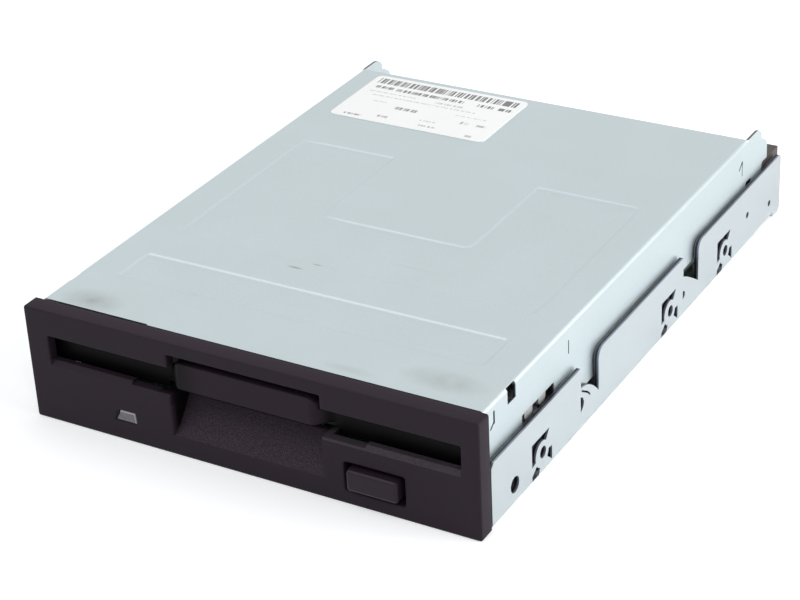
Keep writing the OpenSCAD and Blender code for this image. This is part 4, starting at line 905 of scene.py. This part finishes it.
def printed(material, copper, pitch, cell):
    """Draws copper tracks under the lacquer: stripes at the pitch, in square cells, half of which have them
    along x and half along y by chance. About a third of the stripes are left out, by number and cell."""
    tree = material.node_tree
    place = node(tree, "TexCoord").outputs["Object"]
    cut = node(tree, "VectorMath", {0: place, "Scale": 1 / cell}, operation="SCALE").outputs[0]
    cut = node(tree, "VectorMath", {0: cut}, operation="FLOOR").outputs[0]
    chance = node(tree, "TexWhiteNoise", {"Vector": cut}).outputs["Value"]
    x, y = axes(material)[:2]
    turned_cell = math_node(tree, "GREATER_THAN", chance, 0.5)
    kept_y = product(tree, y, math_node(tree, "SUBTRACT", 1.0, turned_cell))
    along = math_node(tree, "ADD", product(tree, x, turned_cell), kept_y)
    values = {"Along": along, "Per Metre": 1 / pitch, "Share": 0.42}
    tracks = node(tree, "Group", values, node_tree=stripes).outputs
    number = math_node(tree, "ADD", tracks["Number"], product(tree, chance, 91.7))
    there = node(tree, "TexWhiteNoise", {"W": number}, noise_dimensions="1D").outputs["Value"]
    coloured(material, product(tree, tracks["Stripe"], math_node(tree, "GREATER_THAN", there, 0.35)), copper)


board_green = finish("board_green", (0.025, 0.13, 0.06), 0.3, 0, {"Coat Weight": 0.3}, patch_scale=120,
                     patch_shade=0.12, grain_scale=2500, grain_shade=0.1, bump=0.1)
printed(board_green, (0.05, 0.22, 0.09), 0.9 * mm, 7 * mm)
paint(board_green, "motor_board")


def pan_screws(places, seat, length, r=2.2, high=1.2):
    """Screws at these places (x, y), each with a domed head and a cross recess, and a shank with a rolled
    thread. A head's height over the seat falls as h (1 - 0.6 (d / r)^3) from its middle, less the recess."""
    shank, groove, pitch = 1.1, 0.09, 0.5
    arm, reach = 0.3, 0.62 * r
    lines = lines_near([-arm, arm, -reach, reach], (0.1,), -r, r, r / 5)
    u, v, keep = trimmed_grid(lines, lines, lambda u, v: np.hypot(u, v) - r)
    slot_x = np.maximum(np.abs(u) - arm, np.abs(v) - reach)
    slot_y = np.maximum(np.abs(v) - arm, np.abs(u) - reach)
    recess = 0.6 * high * ramp(-np.minimum(slot_x, slot_y), -0.06, 0.14)
    top = seat + high * (1 - 0.6 * (np.hypot(u, v) / r) ** 3) - recess
    down = np.arange(0, length - 0.2, 0.1)
    thread = np.stack([shank - groove + groove * np.cos(down * 2 * math.pi / pitch), seat - down], -1)
    profile = np.concatenate([[(0, seat)], thread, [(0.5 * shank, seat - length), (0, seat - length)]])
    parts = []
    for x, y in places:
        head = [np.stack([x + u, y + v, z], -1) for z in (top, np.full_like(u, seat))]
        parts += [plate(*head, keep), turned(profile, (x, y, 0), "z", 14)]
    return parts


screw_steel = finish("screw_steel", (0.58, 0.57, 0.53), 0.33, 1.0, patch_scale=350, patch_shade=0.12,
                     patch_rough=0.1, grain_scale=4000, grain_shade=0.06, bump=0.15, depth=0.00001)
motor_screws = pan_screws([(-21, 74.3), (21, 74.3), (0, 19.5)], 3.4, 2.6)
new_piece("motor_board_screws", motor_screws, screw_steel, "drive", "screw_steel", "motor_screws")

# Motor coils: six flat rings of enamelled copper wire, wound, bonded and glued to the board under the
# rotor's magnet.
wires, wire_half = 12, 0.15
wire_at = 2.8 + 2 * wire_half * np.arange(wires)
lobe = np.linspace(0, math.pi, 5)
upper = np.stack([(wire_at[:, None] - wire_half * np.cos(lobe)).ravel(),
                  5.05 + wire_half * np.tile(np.sin(lobe), wires)], -1)
profile = np.concatenate([[(2.6, 3.4), (2.6, 5.0)], upper, [(6.4, 5.0), (6.4, 3.4), (2.6, 3.4)]])
parts = [turned(profile, (15.5 * math.cos(a), 50 + 15.5 * math.sin(a), 0), "z", 40)
         for a in np.radians(np.arange(30, 360, 60))]
coil_copper = finish("coil_copper", (0.55, 0.24, 0.09), 0.32, 0.9, patch_scale=300, patch_shade=0.12,
                     grain_scale=5000, grain_shade=0.1, bump=0.15, depth=0.00001)
new_piece("wound_coils", parts, coil_copper, "drive", "coil_copper", "motor_coils")

# Spindle: a brass bearing, a drawn steel rotor cup with a ferrite ring in it, and a turned hub whose magnet
# grips the disk's steel centre, while the small sprung pin drives it.
bearing_brass = finish("bearing_brass", (0.66, 0.5, 0.24), 0.3, 1.0, patch_scale=200, patch_shade=0.1,
                       grain_scale=5000, grain_shade=0.07, bump=0.2, depth=0.000005, stretch=(1, 1, 8))
paint(bearing_brass, "spindle_bearing", "spindle_hub")
cup = [(25.2, 4.5), (26, 4.5), (26, 8.0), (25.82, 8.42), (25.4, 8.6), (21.2, 8.6), (21, 8.5), (20.8, 8.5),
       (20.6, 8.6), (16.2, 8.6), (16, 8.5), (15.8, 8.5), (15.6, 8.6), (5.1, 8.6), (5.02, 8.52), (5.02, 7.8),
       (25.2, 7.8), (25.2, 4.5)]
rotor_steel = finish("rotor_steel", (0.52, 0.53, 0.54), 0.3, 1.0, patch_scale=90, patch_shade=0.08,
                     grain_scale=1500, grain_shade=0.06, bump=0.2, depth=0.00001)
new_piece("rotor_cup", [turned(cup, (0, 50, 0), "z", 96)], rotor_steel, "rotor", "rotor_steel",
          "spindle_rotor")
ferrite = finish("ferrite", (0.045, 0.045, 0.048), 0.55, 0, patch_scale=300, patch_shade=0.15,
                 grain_scale=3500, grain_shade=0.2, bump=0.4, depth=0.00002)
paint(ferrite, "rotor_magnet", "hub_magnet")
paint(pin_steel, "drive_pin")

# Head carriage: a glass-filled black moulding that slides on the guide rod and carries the lower head. Its
# follower's brass-coloured tongue sits in the lead screw's groove.
carriage_plastic = finish("carriage_plastic", (0.028, 0.028, 0.03), 0.42, 0, patch_scale=150,
                          patch_shade=0.15, grain_scale=3000, grain_shade=0.2, bump=0.3, depth=0.00002)
paint(carriage_plastic, "head_carriage")
follower_brass = finish("follower_brass", (0.7, 0.58, 0.32), 0.32, 1.0, patch_scale=300,
                        patch_shade=0.1, grain_scale=4000, grain_shade=0.06, bump=0.15, depth=0.00001)
paint(follower_brass, "screw_follower")
paint(pin_steel, "arm_pivot_pin")

# Heads: two grey ceramic sliders, one on the carriage and one on the arm of plated steel above it. A wire
# spring presses the arm down.
head_ceramic = finish("head_ceramic", (0.30, 0.29, 0.28), 0.18, 0, patch_scale=500, patch_shade=0.1,
                      grain_scale=5000, grain_shade=0.12, bump=0.1, depth=0.000005)
paint(head_ceramic, "lower_head", "upper_head")
paint(holder_steel, "upper_head_arm")
pivot_y, pivot_z, arm_angle = 119.5, 17.1, math.radians(8.9)


def arm_open(points):
    """Turns points of the loaded arm up about its pivot to the open position."""
    x, y, z = np.moveaxis(np.array(points, float), -1, 0)
    dy, dz = y - pivot_y, z - pivot_z
    return np.stack([x, pivot_y + dy * math.cos(arm_angle) + dz * math.sin(arm_angle),
                     pivot_z - dy * math.sin(arm_angle) + dz * math.cos(arm_angle)], -1)


arm_coil = coil((0, pivot_y, pivot_z), "x", 1.32, 8.25, 9.15, 2.25)
arm_leg = arm_open(bent_path([(8.5, 119, 18.45), (8.5, 108.2, 18.45), (4.6, 108.2, 18.45)], 0.7))
new_piece("arm_wire", [wire(arm_coil, 0.2, (1, 0, 0)), wire(arm_leg, 0.2, (0, 0, 1))], spring_steel,
          "carriage", "spring_steel", "arm_spring")

# Stepper motor: a can drawn in two halves from steel sheet, with a terminal block on top. A folded steel
# bracket with two screws carries it.
stepper_profile = [(0, 130), (1.06, 130), (1.06, 116.7), (1.2, 116.6), (2.8, 116.6), (3, 116.8), (3, 118),
                   (7.7, 118), (8.2, 118.15), (8.45, 118.5), (8.5, 118.9), (8.5, 125.15), (8.35, 125.25),
                   (8.1, 125.3), (8.1, 125.7), (8.35, 125.75), (8.5, 125.85), (8.5, 132.1), (8.4, 132.6),
                   (8.1, 132.9), (7.6, 133), (3.2, 133), (3, 132.8), (0, 132.8)]
screw_x, screw_z = 17, 9.6
motor_can = finish("motor_can", (0.5, 0.51, 0.52), 0.33, 1.0, patch_scale=120, patch_shade=0.08,
                   grain_scale=1500, grain_shade=0.06, bump=0.2, depth=0.00001)
stepper_parts = [turned(stepper_profile, (screw_x, 0, screw_z), "y", 64),
                 rounded_block((13, 120, 16), (21, 129, 19.5), 0.35)]
new_piece("stepper_can", stepper_parts, motor_can, "drive", "motor_can", "stepper_motor")
paint(steel_chassis, "stepper_bracket")
bracket_screws = pan_screws([(screw_x, 88), (screw_x, 110)], 2.4, 1.9)
new_piece("bracket_pan_screws", bracket_screws, screw_steel, "drive", "screw_steel", "bracket_screws")

# Lead screw: a steel shaft with a right-handed groove rolled into it. The stepper motor turns it, and each
# turn moves the carriage 3.75 mm.
lead, screw_r, around = 3.75, 1.5, 32
angle = np.linspace(0, 2 * math.pi, around, endpoint=False)
run = np.arange(83.1, 116.41, 0.12)[:, None]
from_groove = (run - lead * angle / (2 * math.pi)) % lead - lead / 2
groove = screw_r - 0.4 * np.exp(-(from_groove / 0.42) ** 4) * ramp(run, 83.6, 84.6) * ramp(-run, -116, -115)
front_end = np.array([(0, 81.4), (1.0, 81.4), (1.0, 83.1), (1.3, 83.1)])
rear_end = np.array([(1.3, 116.4), (1.0, 116.4), (1.0, 129.0), (0, 129.0)])
front_r, rear_r = (np.repeat(end[:, :1], around, 1) for end in (front_end, rear_end))
radius = np.concatenate([front_r, groove, rear_r])
place = np.concatenate([front_end[:, 1:], run, rear_end[:, 1:]])
points = np.stack([screw_x + radius * np.sin(angle), np.broadcast_to(place, radius.shape),
                   screw_z + radius * np.cos(angle)], -1)
rod_steel = finish("rod_steel", (0.64, 0.64, 0.65), 0.22, 1.0, patch_scale=200, patch_rough=0.08,
                   grain_scale=5000, grain_shade=0.04, bump=0.1, depth=0.000005, stretch=(1, 6, 1))
new_piece("threaded_screw", [(points.reshape(-1, 3), grid_quads(len(radius), around, closed=True))],
          rod_steel, "screw", "rod_steel", "lead_screw")

# Guide rod: a ground steel rod that the carriage slides on, held at both ends by folded clamps, each with
# one screw into the tray.
paint(rod_steel, "guide_rod")
paint(steel_chassis, "rod_clamps")
clamp_screws = pan_screws([(-20.5, 79), (-20.5, 125.5)], 10.1, 6, 2.0, 1.1)
new_piece("clamp_pan_screws", clamp_screws, screw_steel, "drive", "screw_steel", "clamp_screws")

# Main board: a U-shaped green board behind the holder with the control chip, driver chips, crystal and
# capacitors. Four screws hold it on the tray's posts.
board_top = 6.2
paint(board_green, "main_board")


def two_faces(middle, thick):
    """A thin sheet seen edge on: its middle line moved square to itself by half the thickness, both ways."""
    slope = np.gradient(middle, axis=0)
    square = np.stack([-slope[:, 1], slope[:, 0]], -1) / np.linalg.norm(slope, axis=1)[:, None]
    return middle + square * thick / 2, middle - square * thick / 2


def lead_row(centre, run, out, count, pitch):
    """Row of gull-wing leads: each a strip that leaves the body, bends down and lies flat on the board."""
    wide, thick = 0.34, 0.16
    run, out, centre = (np.array(v, float) for v in (run, out, centre))
    middle = bent_path([(-0.15, 0, 1.0), (0.35, 0, 1.0), (0.5, 0, 0.09), (0.9, 0, 0.09)], 0.16, 2)
    faces = [centre + out * face[:, :1] + np.array([0, 0, 1]) * (face[:, 1:] + board_top)
             for face in two_faces(middle[:, [0, 2]], thick)]
    parts = []
    for shift in (np.arange(count) - (count - 1) / 2) * pitch:
        low, high = run * (shift - wide / 2), run * (shift + wide / 2)
        sides = [np.stack([face + low, face + high], 1) for face in faces]
        parts.append(plate(*sides, np.ones((len(middle) - 1, 1), bool)))
    return parts


chips = [(36, 115, 14, 14, 2.0, 15, 0.8), (-37, 117, 7.5, 12, 2.0, 9, 1.2), (36, 131.5, 5, 6, 1.5, 4, 1.1)]
chip_low = board_top + 0.15
bodies, leads = [], []
for x, y, wide, deep, high, count, pitch in chips:
    bodies.append(rounded_block((x - wide / 2, y - deep / 2, chip_low),
                                (x + wide / 2, y + deep / 2, chip_low + high), 0.18))
    for side in (-1, 1):
        leads += lead_row((x + side * wide / 2, y, 0), (0, 1, 0), (side, 0, 0), count, pitch)
        if wide == deep:
            leads += lead_row((x, y + side * deep / 2, 0), (1, 0, 0), (0, side, 0), count, pitch)
chip_black = finish("chip_black", (0.022, 0.022, 0.024), 0.5, 0, patch_scale=200, patch_shade=0.12,
                    grain_scale=4000, grain_shade=0.25, bump=0.35, depth=0.00001)
new_piece("chip_bodies", bodies, chip_black, "drive", "chip_black", "board_chips")
new_piece("chip_leads", leads, tinned_wire, "drive", "tinned_wire")
bow = np.linspace(-1, 1, 17) * math.pi / 2
end_x = np.repeat([38, 31.5], len(bow))
out_x, out_y = np.concatenate([np.cos(bow), -np.cos(bow)]), np.concatenate([np.sin(bow), -np.sin(bow)])
crystal_profile = np.array([(0, 3.4), (1.4, 3.4), (1.75, 3.3), (1.9, 3.05), (1.9, 0.6), (2.0, 0.45),
                            (2.2, 0.4), (2.2, 0.05), (0, 0.05)])
r, z = crystal_profile[:, :1], board_top + crystal_profile[:, 1:]
points = np.stack([end_x + r * out_x, 102 + r * out_y, np.broadcast_to(z, (len(r), len(end_x)))], -1)
crystal_can = finish("crystal_can", (0.66, 0.65, 0.62), 0.25, 1.0, patch_scale=300, patch_shade=0.08,
                     patch_rough=0.1, grain_scale=4000, bump=0.15, depth=0.00001)
new_piece("crystal_case", [(points.reshape(-1, 3), grid_quads(len(r), len(end_x), closed=True))],
          crystal_can, "drive", "crystal_can", "crystal")
sleeve = [(0, 0), (2.5, 0), (2.5, 0.7), (2.3, 0.9), (2.3, 1.1), (2.5, 1.3), (2.5, 5.1), (2.4, 5.3),
          (2.2, 5.38), (1.9, 5.3), (0, 5.3)]
parts = [turned(sleeve, (x, y, board_top)) for x, y in ((-29, 130), (-35.5, 131), (30.5, 126))]
capacitor_can = finish("capacitor_can", (0.62, 0.63, 0.65), 0.3, 1.0, patch_scale=300, patch_shade=0.08,
                       grain_scale=4000, bump=0.15, depth=0.00001)
new_piece("capacitor_cans", parts, capacitor_can, "drive", "capacitor_can", "board_capacitors")
board_screws = pan_screws([(-42.5, 101), (42.5, 104), (-42.5, 127), (42.5, 127)], board_top, 4.6)
new_piece("board_pan_screws", board_screws, screw_steel, "drive", "screw_steel", "board_screws")

# Track-zero sensor: a black light gate, moulded in plastic and soldered to the board. The carriage's flag
# passes through its slot.
sensor_black = finish("sensor_black", (0.022, 0.022, 0.023), 0.4, 0, patch_scale=250, patch_shade=0.1,
                      grain_scale=4000, grain_shade=0.15, bump=0.2, depth=0.00001)
new_piece("light_gate", [rounded_block((-29, 108, board_top), (-20.2, 115, 7.4), 0.2),
                         rounded_block((-28, 108.5, board_top), (-25.2, 114.5, 12.2), 0.3),
                         rounded_block((-22.2, 110.6, board_top), (-20.2, 114.5, 12.2), 0.3)],
          sensor_black, "drive", "sensor_black", "track_zero_sensor")

# Ribbons: a cream flat cable from the motor board to the main board, and an amber one from the heads, each
# plugged into a nylon socket. Their copper tracks show through the film.
connector_ivory = finish("connector_ivory", (0.72, 0.67, 0.54), 0.42, 0, patch_scale=200,
                         patch_shade=0.06, grain_scale=3000, grain_shade=0.05, bump=0.2, depth=0.00001)
new_piece("ribbon_sockets", [rounded_block((-36, 98.5, board_top), (-32.3, 108, 8.2), 0.25),
                             rounded_block((-31.5, 101, board_top), (-24.7, 103, 7.8), 0.25)],
          connector_ivory, "drive", "connector_ivory", "ribbon_connectors")


def film(middle, low, high, axis):
    """Thin bent sheet: the two faces of a middle line, drawn out from low to high along the axis x or y."""
    thick, steps = 0.16, 7
    sides = []
    for face in two_faces(middle, thick):
        u, v, w = np.broadcast_arrays(face[:, :1], face[:, 1:], np.linspace(low, high, steps))
        sides.append(np.stack((w, u, v) if axis == "x" else (u, w, v), -1))
    return plate(*sides, np.ones((len(middle) - 1, steps - 1), bool))


def tracked(material, along, copper):
    """Lays stripes of copper, one in each millimetre along x (0) or y (1), over a material."""
    values = {"Along": axes(material)[along], "Per Metre": 1 / mm}
    tracks = node(material.node_tree, "Group", values, node_tree=stripes).outputs
    coloured(material, tracks["Stripe"], copper)


motor_line = bent_path([(74, 0, 3.5), (81, 0, 3.5), (88, 0, 6.38), (101.2, 0, 6.34)], 2.5, 6)
motor_film = film(motor_line[:, [0, 2]], -31, -25, "x")
ribbon_film = finish("ribbon_film", (0.62, 0.58, 0.48), 0.35, 0, patch_shade=0.05)
tracked(ribbon_film, 0, (0.42, 0.33, 0.22))
new_piece("motor_flat_cable", [motor_film], ribbon_film, "drive", "ribbon_film", "motor_ribbon")
head_line = bent_path([(-8.4, 0, 13.3), (-25.5, 0, 13.3), (-30.2, 0, 11.4), (-32.25, 0, 7.3)], 4, 8)
head_film = film(head_line[:, [0, 2]], 98, 107, "y")
ribbon_amber = finish("ribbon_amber", (0.5, 0.26, 0.06), 0.25, 0, {"Coat Weight": 0.3}, patch_shade=0.08)
tracked(ribbon_amber, 1, (0.35, 0.13, 0.04))
new_piece("head_flat_cable", [head_film], ribbon_amber, "drive", "ribbon_amber", "head_ribbon")

# Interface header: a black box header with two rows of seventeen gilded square pins, bent down to the main
# board. Beside it is the nylon power socket with four tinned pins.
header_black = finish("header_black", (0.035, 0.025, 0.024), 0.45, 0, patch_scale=200, patch_shade=0.1,
                      grain_scale=3500, grain_shade=0.15, bump=0.25, depth=0.00001)
paint(header_black, "interface_header")
gold_pin = finish("gold_pin", (0.80, 0.60, 0.24), 0.25, 1.0, patch_scale=500, patch_shade=0.06,
                  grain_scale=5000, bump=0.1, depth=0.000005)
square_r = 0.32 * math.sqrt(2)


def bent_pin(x, z, foot, tip):
    """Square pin with a tapered tip that runs forward to its bend and down into the board."""
    path = bent_path([(x, tip, z), (x, tip - 0.6, z), (x, foot, z), (x, foot, board_top)], 0.3)
    radius = np.full(len(path), square_r)
    radius[0] *= 0.45
    return wire(path, radius, (1, 0, 0), 4)


half_pitch = 1.27
parts = [bent_pin(24.15 + i * half_pitch, 10.75 + j * half_pitch, 137.4 - (j + 1) * half_pitch, 146.9)
         for i in range(-16, 17, 2) for j in (-1, 1)]
new_piece("gilded_pins", parts, gold_pin, "drive", "gold_pin", "header_pins")
paint(connector_ivory, "power_connector")
parts = [bent_pin(-26.5 + (i - 1.5) * 2.5, 9.2, 137.62, 146.4) for i in range(4)]
new_piece("power_square_pins", parts, tinned_wire, "drive", "tinned_wire", "power_pins")

# Sensing switches: three small black bodies on the motor board, whose white plungers feel the disk's
# write-protect window, its presence and its density hole.
parts = [rounded_block((x - 2.8, 9.2, 3.4), (x + 2.8, 14.8, 11.4), 0.25) for x in (-39, -20, 39)]
new_piece("switch_cases", parts, chip_black, "drive", "chip_black", "switch_bodies")
plunger = [(0, 10.6), (1.15, 10.6), (1.2, 10.7), (1.2, 12.9), (1.1, 13.15), (0.85, 13.33), (0.5, 13.4),
           (0, 13.4)]
plunger_white = finish("plunger_white", (0.8, 0.8, 0.77), 0.35, 0, patch_scale=300, patch_shade=0.05,
                       grain_scale=4000, bump=0.1, depth=0.000005)
for name, x, body in (("write_protect_plunger", -39, "write_protect"), ("disk_in_plunger", -20, "disk_in"),
                      ("density_plunger", 39, "density")):
    new_piece("turned_" + body, [turned(plunger, (x, 12, 0))], plunger_white, body, "plunger_white", name)
